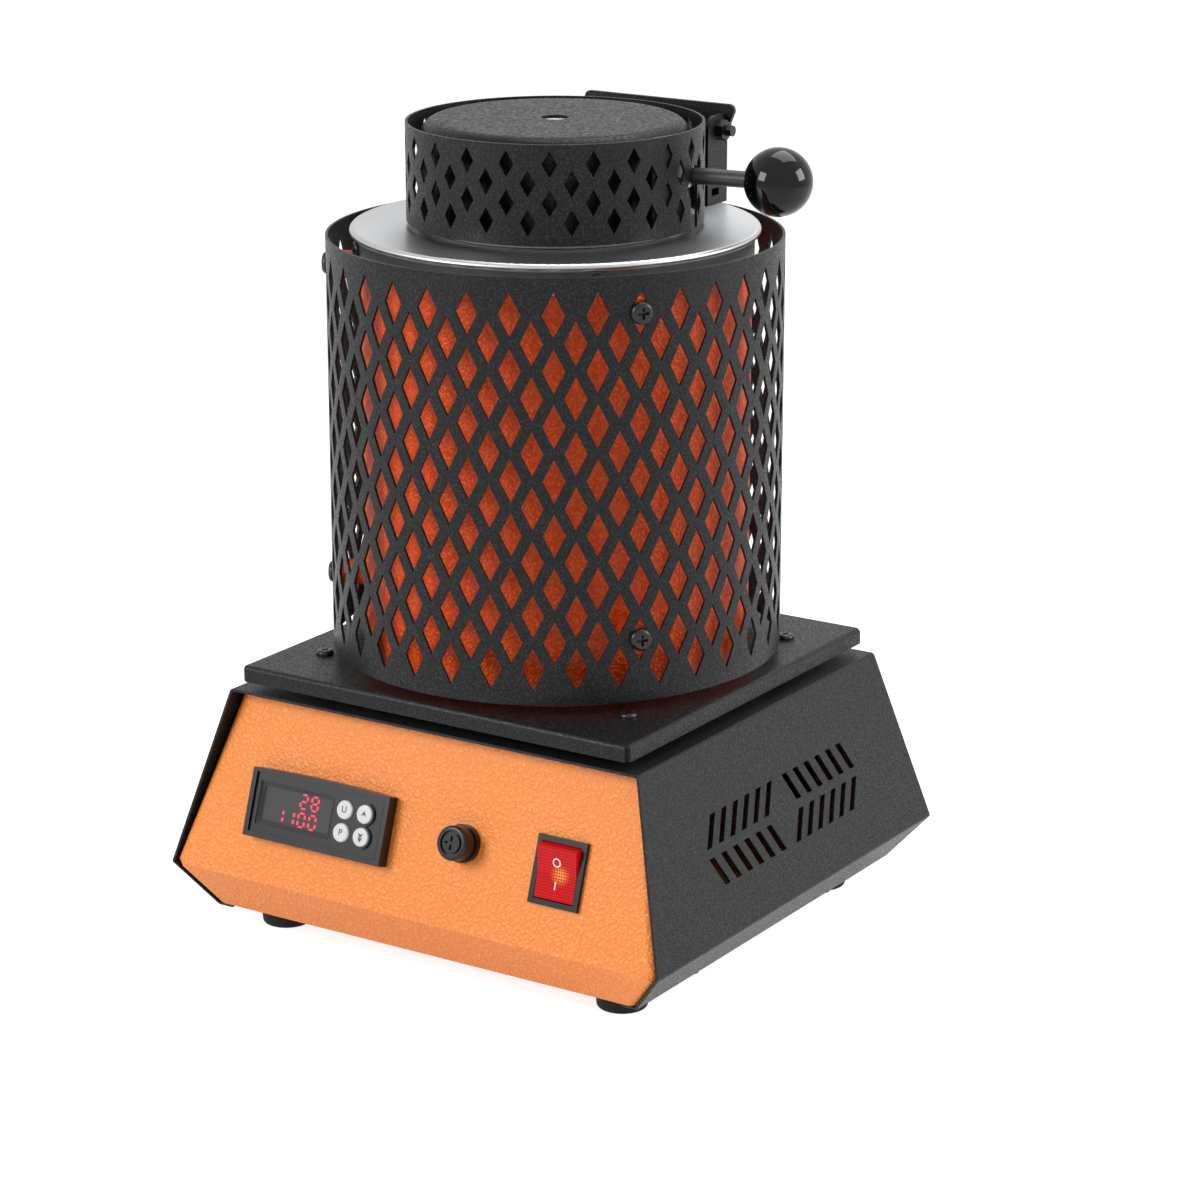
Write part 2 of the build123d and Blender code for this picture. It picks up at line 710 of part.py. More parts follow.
with BuildPart() as top_cap:
    with BuildSketch(Plane.XZ):
        bead_x = cap_radius - bead_radius
        with Locations((bead_x, cap_top_z - bead_radius)):
            Circle(bead_radius)
        with Locations((cap_mouth, shell_top)):
            Rectangle(bead_x - cap_mouth, cap_sheet, align=Align.MIN)
        with Locations((skirt_inner, cap_top_z - cap_skirt)):
            Rectangle(cap_sheet, cap_skirt - bead_radius, align=Align.MIN)
    revolve(axis=Axis.Z)
    with BuildSketch(*[polar(angle, skirt_inner, cap_screw_z) for angle in cap_screw_angles]):
        Circle(m4 / 2 + screw_gap)
    extrude(amount=2 * cap_sheet, both=True, mode=Mode.SUBTRACT)
    with BuildSketch(Plane.XY.offset(cap_top_z)):
        with Locations((0, bracket_screw_y)), GridLocations(2 * bracket_screw_x, 0, 2, 1):
            Circle(m4 / 2 + screw_gap)
    extrude(amount=-cap_sheet, mode=Mode.SUBTRACT)
finish(top_cap, "top_cap")

with BuildPart() as cap_screws:
    with Locations(*[polar(angle, skirt_outer + seat, cap_screw_z) for angle in cap_screw_angles]):
        add(pan_screw(m4, cap_screw_length))
finish(cap_screws, "cap_screws")

# ------------------------------------------------------------------ heat guard
with BuildPart() as heat_guard:
    with BuildSketch(Plane.XY.offset(guard_bottom_z)):
        Circle(guard_radius)
        Circle(guard_inner, mode=Mode.SUBTRACT)
    extrude(amount=guard_height)
    for shift in (0, 1):
        rows = range(shift, guard_rows, 2)
        angles = [guard_phase + (column + shift / 2) * guard_step for column in range(guard_columns)]
        with BuildSketch(*[polar(angle, guard_radius + sheet) for angle in angles]):
            places = [(0, guard_top_row - row * guard_pitch) for row in rows]
            diamonds(diamond_width, diamond_height, places)
    extrude(amount=-3 * sheet, mode=Mode.SUBTRACT, clean=False)
finish(heat_guard, "heat_guard")

guard_screw_places = [
    (guard_phase + column * guard_step, guard_top_row - row * guard_pitch)
    for column in guard_screw_columns
    for row in guard_screw_rows
]
boss_reach = sqrt(guard_inner**2 - (boss_diameter / 2) ** 2) - seat
with BuildPart() as guard_spacers:
    with BuildSketch(*[polar(angle, shell_radius + seat, z) for angle, z in guard_screw_places]):
        Circle(boss_diameter / 2)
        Circle(m5 / 2 + fit, mode=Mode.SUBTRACT)
    extrude(amount=boss_reach - shell_radius - seat)
finish(guard_spacers, "guard_spacers")

with BuildPart() as guard_screws:
    with Locations(*[polar(angle, guard_radius + seat, z) for angle, z in guard_screw_places]):
        add(pan_screw(m5, guard_screw_length))
finish(guard_screws, "guard_screws")

# ------------------------------------------------------------------ lid
pan_screw_angles = (90 - leaf_screw_angle, 90 + leaf_screw_angle)
leaf_z = (leaf_bottom_z + leaf_top_z) / 2
with BuildPart() as lid_pan:
    with BuildSketch(Plane.XZ):
        with BuildLine():
            FilletPolyline(
                (pan_hole / 2, lid_top_z),
                (pan_radius, lid_top_z),
                (pan_radius, pan_bottom_z),
                radius=pan_corner,
            )
            offset(amount=sheet, side=Side.RIGHT)
        make_face()
    revolve(axis=Axis.Z)
    with BuildSketch(polar(handle_angle, pan_radius, handle_z)):
        Circle(stud_diameter / 2 + fit)
    extrude(amount=4 * sheet, both=True, mode=Mode.SUBTRACT)
    with BuildSketch(*[polar(angle, pan_radius, leaf_z) for angle in pan_screw_angles]):
        Circle(m4 / 2 + fit)
    extrude(amount=4 * sheet, both=True, mode=Mode.SUBTRACT)
finish(lid_pan, "lid_pan")

handle_seat = sqrt(pan_inner**2 - (stud_diameter * nut_corner) ** 2) - seat
stud_end = handle_seat - stud_diameter * nut_height_ratio - stud_spare
with BuildPart() as lid_insulation:
    with BuildSketch(Plane.XY.offset(cap_top_z + lid_gap)):
        Circle(pan_inner - clearance)
    extrude(amount=lid_top_z - sheet - clearance - cap_top_z - lid_gap)
    fillet(lid_insulation.edges().sort_by(Axis.Z)[-1], pan_corner)
    with BuildSketch(polar(handle_angle, stud_end - clearance, handle_z)):
        Circle(stud_diameter * nut_corner + clearance)
    extrude(amount=pan_radius - stud_end, mode=Mode.SUBTRACT)
    with BuildSketch(*[polar(angle, leaf_outer, leaf_z) for angle in pan_screw_angles]):
        Circle(m4 / 2 + screw_gap)
    extrude(amount=-leaf_screw_length - hole_spare, mode=Mode.SUBTRACT)
finish(lid_insulation, "lid_insulation")

with BuildPart() as lid_guard:
    with BuildSketch(Plane.XY.offset(ring_bottom_z)):
        Circle(ring_radius)
        Circle(ring_inner, mode=Mode.SUBTRACT)
    extrude(amount=ring_height)
    for shift in (0, 1):
        rows = range(shift, ring_rows, 2)
        angles = [ring_phase + (column + shift / 2) * ring_step for column in range(ring_columns)]
        with BuildSketch(*[polar(angle, ring_radius + sheet) for angle in angles]):
            places = [(0, ring_top_row - row * ring_pitch) for row in rows]
            diamonds(ring_diamond_width, ring_diamond_height, places)
    extrude(amount=-3 * sheet, mode=Mode.SUBTRACT, clean=False)
    with BuildSketch(polar(handle_angle, ring_radius)):
        with Locations((0, handle_z)):
            Circle(keyhole / 2)
        with Locations((0, ring_bottom_z - hole_spare)):
            slot_run = handle_z - ring_bottom_z + hole_spare
            Rectangle(rod_diameter + 2 * slot_clear, slot_run, align=(Align.CENTER, Align.MIN))
    extrude(amount=4 * sheet, both=True, mode=Mode.SUBTRACT)
    with BuildSketch(*[polar(angle, ring_radius, leaf_z) for angle in pan_screw_angles]):
        Circle(m4 / 2 + screw_gap)
    extrude(amount=4 * sheet, both=True, mode=Mode.SUBTRACT)
    # the ring's seam is lapped by a strap inside
    with BuildSketch(Plane.XY.offset(ring_bottom_z)):
        Circle(ring_inner)
        Circle(ring_inner - seam_sheet, mode=Mode.SUBTRACT)
        edges = [radians(seam_angle + turn * degrees(seam_width / 2 / ring_inner)) for turn in (-1, 1)]
        corners = [(2 * ring_radius * cos(edge), 2 * ring_radius * sin(edge)) for edge in edges]
        Polygon((0, 0), *corners, align=None, mode=Mode.INTERSECT)
    extrude(amount=ring_height)
finish(lid_guard, "lid_guard")

boss_end = sqrt(ring_inner**2 - (leaf_boss / 2) ** 2) - seat
with BuildPart() as leaf_spacers:
    with BuildSketch(*[polar(angle, pan_radius + seat, leaf_z) for angle in pan_screw_angles]):
        Circle(leaf_boss / 2)
        Circle(m4 / 2 + screw_gap, mode=Mode.SUBTRACT)
    extrude(amount=boss_end - pan_radius - seat)
finish(leaf_spacers, "leaf_spacers")

leaf_seat = leaf_outer - leaf_screw_sunk
with BuildPart() as leaf_screws:
    with Locations(*[polar(angle, leaf_seat, leaf_z) for angle in pan_screw_angles]):
        add(flat_screw(m4, leaf_screw_length))
finish(leaf_screws, "leaf_screws")

# ------------------------------------------------------------------ hinge
with BuildPart() as hinge_leaf:
    with BuildSketch(Plane.XY.offset(leaf_bottom_z)):
        Circle(leaf_outer)
        Circle(leaf_inner, mode=Mode.SUBTRACT)
        with Locations((0, leaf_outer)):
            Rectangle(2 * (arm_x + plate), 2 * leaf_outer, mode=Mode.INTERSECT)
        arm_start = sqrt(leaf_inner**2 - arm_x**2)
        for side in (-1, 1):
            with Locations((side * (arm_x + plate / 2), arm_start)):
                Rectangle(plate, hinge_y + arm_boss - arm_start, align=(Align.CENTER, Align.MIN))
    extrude(amount=leaf_top_z - leaf_bottom_z)
    with BuildSketch(Plane.YZ):
        with Locations((0, leaf_bottom_z)):
            Rectangle(leaf_outer, leaf_top_z - leaf_bottom_z, align=Align.MIN)
        with Locations((0, hinge_z - arm_drop)):
            Rectangle(hinge_y, arm_drop + arm_rise, align=Align.MIN)
        with Locations((hinge_y, hinge_z)):
            Circle(arm_boss)
    extrude(amount=hinge_width, both=True, mode=Mode.INTERSECT)
    with BuildSketch(Plane.YZ):
        with Locations((hinge_y, hinge_z)):
            Circle(m5 / 2 + fit)
    extrude(amount=hinge_width, both=True, mode=Mode.SUBTRACT)
    with Locations(*[polar(angle, leaf_seat, leaf_z) for angle in pan_screw_angles]):
        CounterSinkHole(m4 / 2 + screw_gap, m4 * flat_head_ratio + fit, 4 * plate, 90)
finish(hinge_leaf, "hinge_leaf")

with BuildPart() as hinge_bracket:
    with BuildSketch(Plane.YZ):
        with Locations((hinge_y - cheek_front, cap_top_z)):
            cheek_length = web_y + plate - hinge_y + cheek_front
            Rectangle(cheek_length, hinge_z + cheek_rise - cap_top_z, align=Align.MIN)
        fillet(vertices().group_by(Axis.Y)[-1].sort_by(Axis.X)[0], cheek_rise)
    extrude(amount=hinge_width / 2, both=True)
    with BuildSketch(Plane.XY.offset(cap_top_z + plate)):
        with Locations((0, web_y)):
            Rectangle(2 * cheek_x, cheek_length, align=(Align.CENTER, Align.MAX))
    extrude(amount=hinge_z, mode=Mode.SUBTRACT)
    with BuildSketch(Plane.XZ.offset(-web_y)):
        Polygon(
            (-hinge_width / 2, cap_top_z),
            (hinge_width / 2, cap_top_z),
            (hinge_width / 2, web_flare_z),
            (web_top_width / 2, web_top_z),
            (-web_top_width / 2, web_top_z),
            (-hinge_width / 2, web_flare_z),
            align=None,
        )
        fillet(vertices().group_by(Axis.Y)[-1], web_corner)
    extrude(amount=-plate)
    with BuildSketch(Plane.YZ):
        with Locations((hinge_y, hinge_z)):
            Circle(m5 / 2 + fit)
        with Locations((bracket_screw_y, cap_top_z + 3 * plate)):
            Rectangle(cheek_slot[1], cheek_slot[0])
    extrude(amount=hinge_width, both=True, mode=Mode.SUBTRACT)
    with BuildSketch(Plane.XY.offset(cap_top_z)):
        with Locations((0, bracket_screw_y)), GridLocations(2 * bracket_screw_x, 0, 2, 1):
            Circle(m4 / 2 + screw_gap)
    extrude(amount=plate, mode=Mode.SUBTRACT)
finish(hinge_bracket, "hinge_bracket")

with BuildPart() as bracket_screws:
    for x in (-bracket_screw_x, bracket_screw_x):
        with Locations((x, bracket_screw_y, cap_top_z + plate)):
            add(pan_screw(m4, bracket_screw_length))
        with Locations(downwards(x, bracket_screw_y, shell_top)):
            add(hex_nut(m4))
finish(bracket_screws, "bracket_screws")

with BuildPart() as hinge_bolt:
    with Locations(Plane(origin=(-hinge_width / 2, hinge_y, hinge_z), z_dir=(-1, 0, 0))):
        add(pan_screw(m5, hinge_width + bolt_spare * m5))
    with Locations(Plane(origin=(hinge_width / 2, hinge_y, hinge_z), z_dir=(1, 0, 0))):
        add(hex_nut(m5))
finish(hinge_bolt, "hinge_bolt")

with BuildPart() as hinge_washers:
    for side in (-1, 1):
        with BuildSketch(Plane.YZ.offset(side * (cheek_x - fit - hinge_washer / 2))):
            with Locations((hinge_y, hinge_z)):
                Circle(m5)
                Circle(m5 / 2 + fit, mode=Mode.SUBTRACT)
        extrude(amount=hinge_washer / 2, both=True)
finish(hinge_washers, "hinge_washers")

# ------------------------------------------------------------------ lid handle
nut_seat = pan_radius + seat
with BuildPart() as handle_rod:
    rod_start = nut_seat + handle_nut + fit
    ball_seat = handle_reach - ball_flat
    with BuildSketch(polar(handle_angle, rod_start, handle_z)):
        Circle(rod_diameter / 2)
    extrude(amount=ball_seat - rod_start)
    with BuildSketch(polar(handle_angle, stud_end, handle_z)):
        Circle(stud_diameter / 2)
    extrude(amount=ball_seat + stud_depth - stud_end)
finish(handle_rod, "handle_rod")

with BuildPart() as handle_nuts:
    with Locations(polar(handle_angle, nut_seat, handle_z)):
        add(hex_nut(stud_diameter, handle_nut))
    with Locations(polar(handle_angle + 180, -handle_seat, handle_z)):
        add(hex_nut(stud_diameter))
finish(handle_nuts, "handle_nuts")

with BuildPart() as handle_ball:
    ball_place = polar(handle_angle, handle_reach, handle_z)
    with Locations(ball_place):
        Sphere(ball_radius)
    split(bisect_by=ball_place.offset(-ball_flat), keep=Keep.TOP)
    with BuildSketch(ball_place.offset(-ball_flat)):
        Circle(stud_diameter / 2 + fit)
    extrude(amount=stud_depth + hole_spare, mode=Mode.SUBTRACT)
finish(handle_ball, "handle_ball")

# ------------------------------------------------------------------ controller
face_out = bezel_out - bezel_pocket
face_back = face_out - bezel_front
button_spots = [
    (button_x + column * button_pitch_x / 2, row * button_pitch_y / 2)
    for row in (1, -1)
    for column in (-1, 1)
]
with BuildPart() as controller_housing:
    with BuildSketch(front_place(controller_x, controller_s)):
        with BuildLine():
            half_width, half_height = bezel_width / 2, bezel_height / 2
            Polyline(
                (-half_width, half_height - bezel_bow),
                (-half_width, -half_height),
                (half_width, -half_height),
                (half_width, half_height - bezel_bow),
            )
            ThreePointArc(
                (half_width, half_height - bezel_bow),
                (0, half_height),
                (-half_width, half_height - bezel_bow),
            )
        make_face()
    extrude(amount=bezel_out)
    with BuildSketch(front_place(controller_x, controller_s, bezel_out)):
        Rectangle(bezel_width - 2 * bezel_rim, bezel_height - 2 * bezel_rim)
    extrude(amount=-bezel_pocket, mode=Mode.SUBTRACT)
    with BuildSketch(front_place(controller_x, controller_s)):
        Rectangle(case_width, case_height)
    extrude(amount=-case_depth)
    with BuildSketch(front_place(controller_x, controller_s, face_back)):
        Rectangle(case_width - 2 * case_wall, case_height - 2 * case_wall)
    extrude(amount=-case_depth - face_back, mode=Mode.SUBTRACT)
    with BuildSketch(front_place(controller_x, controller_s, face_out)):
        with Locations((window_x, 0)):
            Rectangle(window_width + 2 * fit, window_height + 2 * fit)
    extrude(amount=-window_thick, mode=Mode.SUBTRACT)
    with BuildSketch(front_place(controller_x, controller_s, face_out)):
        with Locations((window_x, 0)):
            Rectangle(window_width - 2 * window_ledge, window_height - 2 * window_ledge)
        with Locations(*button_spots):
            Circle(button_diameter / 2 + fit)
    extrude(amount=-bezel_front, mode=Mode.SUBTRACT)
finish(controller_housing, "controller_housing")

with BuildPart() as controller_window:
    with BuildSketch(front_place(controller_x, controller_s, face_out - window_thick)):
        with Locations((window_x, 0)):
            Rectangle(window_width, window_height)
    extrude(amount=window_thick)
finish(controller_window, "controller_window")

# bars of a seven-bar figure: a top, b and c right, d bottom, e and f left, g middle
bar_spots = {
    "a": (0, 1, True),
    "b": (1, 0.5, False),
    "c": (1, -0.5, False),
    "d": (0, -1, True),
    "e": (-1, -0.5, False),
    "f": (-1, 0.5, False),
    "g": (0, 0, True),
}
figures = {"0": "abcdef", "1": "bc", "2": "abged", "8": "abcdefg"}
with BuildPart() as display_figures:
    for row, shown in ((0.5, "  28"), (-0.5, "1100")):
        with BuildSketch(front_place(controller_x, controller_s, face_back)):
            for place, figure in enumerate(shown):
                centre_x = window_x + (place - 1.5) * digit_pitch_x
                for bar in figures.get(figure, ""):
                    across, up, level = bar_spots[bar]
                    half_width, half_height = digit_width / 2, digit_height / 2
                    spot = (centre_x + across * half_width, row * digit_pitch_y + up * half_height)
                    with Locations(spot):
                        if level:
                            Rectangle(digit_width - 2 * digit_bar, digit_bar)
                        else:
                            Rectangle(digit_bar, digit_height / 2 - 2 * digit_bar)
        extrude(amount=digit_relief)
finish(display_figures, "display_figures")

switch_top = face_back - button_thick - button_travel - clearance
board_top = face_back - display_depth
with BuildPart() as controller_board:
    with BuildSketch(front_place(controller_x, controller_s, board_top)):
        Rectangle(case_width - 2 * case_wall - 2 * clearance, case_height - 2 * case_wall - 2 * clearance)
    extrude(amount=-board_thick)
    with BuildSketch(front_place(controller_x, controller_s, board_top)):
        with Locations(*button_spots):
            Rectangle(press_switch, press_switch)
    extrude(amount=switch_top - board_top)
    with BuildSketch(front_place(controller_x, controller_s, board_top)):
        with Locations((window_x, 0)):
            Rectangle(window_width - window_ledge, window_height - window_ledge)
    extrude(amount=display_depth)
finish(controller_board, "controller_board")

with BuildPart() as controller_back:
    with BuildSketch(front_place(controller_x, controller_s, -case_depth)):
        Rectangle(case_width - 2 * case_wall - 2 * fit, case_height - 2 * case_wall - 2 * fit)
    extrude(amount=2 * case_wall)
    with BuildSketch(front_place(controller_x, controller_s, -case_depth)):
        with GridLocations(terminal_pitch, 2 * terminal_pitch, terminal_count, 2):
            Rectangle(terminal_pitch - terminal_gap, terminal_pitch)
    extrude(amount=-terminal_pitch / 2)
finish(controller_back, "controller_back")

with BuildPart() as controller_clamp:
    with BuildSketch(front_place(controller_x, controller_s, -sheet)):
        Rectangle(case_width + 2 * (clamp_border + fit), case_height + 2 * (clamp_border + fit))
        Rectangle(case_width + 2 * fit, case_height + 2 * fit, mode=Mode.SUBTRACT)
    extrude(amount=-clamp_depth)
finish(controller_clamp, "controller_clamp")

for name, spot in zip(("button_output", "button_up", "button_program", "button_down"), button_spots):
    button_top = front_place(controller_x, controller_s, face_out + button_out)
    with BuildPart() as button:
        with BuildSketch(button_top):
            with Locations(spot):
                Circle(button_diameter / 2)
        extrude(amount=-button_out - bezel_front)
        rim = button.edges().sort_by(Axis(button_top.origin, button_top.z_dir))[-1]
        fillet(rim, button_out * button_round)
        with BuildSketch(front_place(controller_x, controller_s, face_back)):
            with Locations(spot):
                Circle(button_diameter / 2 + button_flange)
        extrude(amount=-button_thick)
    finish(button, name)

# ------------------------------------------------------------------ fuse
with BuildPart() as fuse_holder:
    with BuildSketch(front_place(fuse_x, fuse_s)):
        Circle(fuse_flange_radius)
    extrude(amount=fuse_flange)
    with BuildSketch(front_place(fuse_x, fuse_s)):
        Circle(fuse_thread_radius)
    extrude(amount=-fuse_depth)
    with BuildSketch(front_place(fuse_x, fuse_s, fuse_flange)):
        Circle(fuse_bore)
    extrude(amount=fuse_thread_radius - fuse_bore - fuse_depth - fuse_flange, mode=Mode.SUBTRACT)
finish(fuse_holder, "fuse_holder")

with BuildPart() as fuse_nut:
    with BuildSketch(front_place(fuse_x, fuse_s, -sheet)):
        RegularPolygon(fuse_nut_ratio * fuse_thread_radius, 6, major_radius=False)
        Circle(fuse_thread_radius + fit, mode=Mode.SUBTRACT)
    extrude(amount=-fuse_flange)
finish(fuse_nut, "fuse_nut")

with BuildPart() as fuse_cap:
    cap_place = front_place(fuse_x, fuse_s, fuse_flange + fit)
    with BuildSketch(cap_place):
        Circle(fuse_cap_radius)
    extrude(amount=fuse_out - fuse_flange)
    fillet(fuse_cap.edges().sort_by(Axis(cap_place.origin, cap_place.z_dir))[-1], cap_edge)
    with BuildSketch(cap_place):
        Circle(fuse_bore - fit)
    extrude(amount=-fuse_plug)
    with BuildSketch(cap_place.offset(-fuse_plug)):
        Circle(fuse_glass_radius + fit)
    extrude(amount=fuse_plug, mode=Mode.SUBTRACT)
    with BuildSketch(cap_place.offset(fuse_out - fuse_flange)):
        Circle(cap_ring + cap_groove)
        Circle(cap_ring, mode=Mode.SUBTRACT)
        Rectangle(2 * cap_cross, cap_groove)
        Rectangle(cap_groove, 2 * cap_cross)
    extrude(amount=-cap_groove, mode=Mode.SUBTRACT)
finish(fuse_cap, "fuse_cap")

with BuildPart() as glass_fuse:
    with BuildSketch(cap_place.offset(-fit)):
        Circle(fuse_glass_radius)
    extrude(amount=-fuse_length)
finish(glass_fuse, "glass_fuse")

# ------------------------------------------------------------------ mains switch
with BuildPart() as switch_body:
    with BuildSketch(front_place(switch_x, switch_s)):
        Rectangle(switch_width, switch_height)
    extrude(amount=switch_flange)
    with BuildSketch(front_place(switch_x, switch_s)):
        Rectangle(switch_body_width, switch_body_height)
    extrude(amount=-switch_depth)
    with BuildSketch(front_place(switch_x, switch_s, switch_flange)):
        Rectangle(switch_body_width - 2 * switch_wall, switch_body_height - 2 * switch_wall)
    extrude(amount=2 * switch_wall - switch_depth - switch_flange, mode=Mode.SUBTRACT)
    with BuildSketch(front_place(switch_x, switch_s, -switch_depth)):
        with GridLocations(0, tab_pitch, 1, 3):
            Rectangle(tab_width + 2 * fit, tab_thick + 2 * fit)
    extrude(amount=2 * switch_wall, mode=Mode.SUBTRACT)
    pin_place = front_place(switch_x, switch_s, rocker_pivot)
    with BuildSketch(Plane(origin=pin_place.origin, x_dir=pin_place.y_dir, z_dir=pin_place.x_dir)):
        Circle(rocker_pin / 2 + fit)
    extrude(amount=switch_width, both=True, mode=Mode.SUBTRACT)
finish(switch_body, "switch_body")

with BuildPart() as switch_rocker:
    tilted = pin_place.rotated((rocker_tilt, 0, 0))
    sideways = Plane(origin=tilted.origin, x_dir=tilted.y_dir, z_dir=tilted.x_dir)
    rocker_reach = switch_body_height / 2 - switch_wall - clearance
    with BuildSketch(sideways):
        Circle(rocker_reach)
        Polygon(
            (-rocker_reach, -rocker_under),
            (rocker_reach, -rocker_under),
            (rocker_reach, rocker_end),
            (0, rocker_dip),
            (-rocker_reach, rocker_end),
            align=None,
            mode=Mode.INTERSECT,
        )
    extrude(amount=switch_body_width / 2 - switch_wall - clearance, both=True)
    with BuildSketch(sideways):
        Circle(rocker_pin / 2)
    extrude(amount=switch_body_width / 2, both=True)
finish(switch_rocker, "switch_rocker")

with BuildPart() as switch_terminals:
    with BuildSketch(front_place(switch_x, switch_s, 3 * switch_wall - switch_depth)):
        with GridLocations(0, tab_pitch, 1, 3):
            Rectangle(tab_width, tab_thick)
    extrude(amount=-3 * switch_wall - tab_length)
finish(switch_terminals, "switch_terminals")

# ------------------------------------------------------------------ mains inlet
with BuildPart() as mains_inlet:
    with BuildSketch(rear_place(inlet_x, inlet_s)):
        RectangleRounded(inlet_width, inlet_height, 2 * inlet_flange)
        with GridLocations(inlet_screw_pitch, 0, 2, 1):
            Circle(m3 / 2 + screw_gap, mode=Mode.SUBTRACT)
    extrude(amount=inlet_flange)
    with BuildSketch(rear_place(inlet_x, inlet_s)):
        Rectangle(inlet_body_width, inlet_body_height)
    extrude(amount=-inlet_depth)
    with BuildSketch(rear_place(inlet_x, inlet_s, inlet_flange)):
        Rectangle(socket_width, socket_height)
        chamfer(vertices().group_by(Axis.Y)[-1], socket_corner)
    extrude(amount=-socket_depth, mode=Mode.SUBTRACT)
    with BuildSketch(rear_place(inlet_x, inlet_s, inlet_flange - socket_depth)):
        with Locations((-pin_pitch / 2, 0), (pin_pitch / 2, 0), (0, pin_rise)):
            Rectangle(pin_thick + 2 * fit, pin_width + 2 * fit)
    extrude(amount=-inlet_depth, mode=Mode.SUBTRACT)
finish(mains_inlet, "mains_inlet")

with BuildPart() as inlet_pins:
    with BuildSketch(rear_place(inlet_x, inlet_s, inlet_flange - socket_depth + pin_length)):
        with Locations((-pin_pitch / 2, 0), (pin_pitch / 2, 0), (0, pin_rise)):
            Rectangle(pin_thick, pin_width)
    extrude(amount=socket_depth - pin_length - inlet_flange - inlet_depth - tab_length)
finish(inlet_pins, "inlet_pins")

with BuildPart() as inlet_screws:
    for side in (-1, 1):
        with Locations(rear_place(inlet_x + side * inlet_screw_pitch / 2, inlet_s, inlet_flange)):
            add(pan_screw(m3, inlet_flange + 2 * m3))
finish(inlet_screws, "inlet_screws")

# ------------------------------------------------------------------ inside the base
with BuildPart() as relay_sink:
    with BuildSketch(Plane.XY.offset(floor_top)):
        with Locations((relay_x, relay_y)):
            Rectangle(sink_width, sink_depth)
            with GridLocations(relay_screw_pitch, 0, 2, 1):
                Circle(m4 / 2 + screw_gap, mode=Mode.SUBTRACT)
    extrude(amount=sink_plate)
    with BuildSketch(Plane.XY.offset(floor_top + sink_plate)):
        with Locations((relay_x, relay_y)), GridLocations(0, relay_depth + 2 * sink_fin, 1, 2):
            Rectangle(sink_width, sink_fin)
    extrude(amount=sink_fin_height)
finish(relay_sink, "relay_sink")

with BuildPart() as power_relay:
    with BuildSketch(Plane.XY.offset(floor_top + sink_plate)):
        with Locations((relay_x, relay_y)):
            Rectangle(relay_width, relay_depth)
    extrude(amount=relay_height)
    with BuildSketch(Plane.XY.offset(floor_top + sink_plate + relay_ear)):
        with Locations((relay_x, relay_y)), GridLocations(relay_screw_pitch, 0, 2, 1):
            Circle(m4 * head_ratio / 2 + 2 * clearance)
    extrude(amount=relay_height, mode=Mode.SUBTRACT)
    with BuildSketch(Plane.XY.offset(floor_top + sink_plate)):
        with Locations((relay_x, relay_y)), GridLocations(relay_screw_pitch, 0, 2, 1):
            Circle(m4 / 2 + screw_gap)
    extrude(amount=relay_ear, mode=Mode.SUBTRACT)
finish(power_relay, "power_relay")

with BuildPart() as terminal_block:
    with BuildSketch(Plane.XY.offset(cover_under)):
        with Locations((block_x, block_y)):
            Rectangle(block_width, block_depth)
    extrude(amount=-block_height)
    with BuildSketch(Plane.XY.offset(cover_under)):
        with PolarLocations(coil_radius, 2, lead_angles[0], coil_end, endpoint=True):
            Circle(coil_wire / 2 + fit)
        with Locations((block_x, block_y)), GridLocations(block_screw_pitch, 0, 2, 1):
            Circle(m3 / 2 + fit)
    extrude(amount=-lead_length - hole_spare, mode=Mode.SUBTRACT)
finish(terminal_block, "terminal_block")

with BuildPart() as inner_screws:
    for side in (-1, 1):
        relay_seat = floor_top + sink_plate + relay_ear
        with Locations((relay_x + side * relay_screw_pitch / 2, relay_y, relay_seat)):
            add(pan_screw(m4, relay_ear + sink_plate + sheet + m3))
        with Locations((block_x + side * block_screw_pitch / 2, block_y, cover_top_z)):
            add(pan_screw(m3, sheet + 3 * m3))
finish(inner_screws, "inner_screws")
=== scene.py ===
import json
from math import atan2, cos, pi, radians, sin

import bmesh
import bpy
from mathutils import Matrix, Vector


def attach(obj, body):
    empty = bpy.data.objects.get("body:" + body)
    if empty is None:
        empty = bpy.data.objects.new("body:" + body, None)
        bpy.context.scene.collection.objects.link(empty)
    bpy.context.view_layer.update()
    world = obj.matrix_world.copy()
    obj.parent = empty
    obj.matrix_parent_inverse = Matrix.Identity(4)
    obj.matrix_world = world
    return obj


# Electric melting furnace: finishes, small printed and moulded details, studio.
# Shapes are made in millimetres and brought to metres by the place they go to.

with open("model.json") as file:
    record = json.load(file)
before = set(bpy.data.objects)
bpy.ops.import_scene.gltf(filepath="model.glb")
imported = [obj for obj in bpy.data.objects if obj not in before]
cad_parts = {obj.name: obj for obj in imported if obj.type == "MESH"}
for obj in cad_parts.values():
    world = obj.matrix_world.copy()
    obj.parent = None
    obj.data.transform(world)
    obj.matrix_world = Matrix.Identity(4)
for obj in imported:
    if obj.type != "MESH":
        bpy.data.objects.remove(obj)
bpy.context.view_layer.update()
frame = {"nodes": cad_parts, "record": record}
nodes = frame["nodes"]
scene = bpy.context.scene
scene.view_settings.view_transform = "Standard"

MM = 0.001


# ------------------------------------------------------------------ finishes: helpers
def linear(code):
    """Linear colour of an sRGB hex code."""
    parts = [int(code[start:start + 2], 16) / 255 for start in (1, 3, 5)]
    curve = [part / 12.92 if part <= 0.04045 else ((part + 0.055) / 1.055) ** 2.4 for part in parts]
    return (*curve, 1.0)


def per(size):
    """Scale of a pattern whose cells are one size, in millimetres."""
    return 1 / (size * MM)


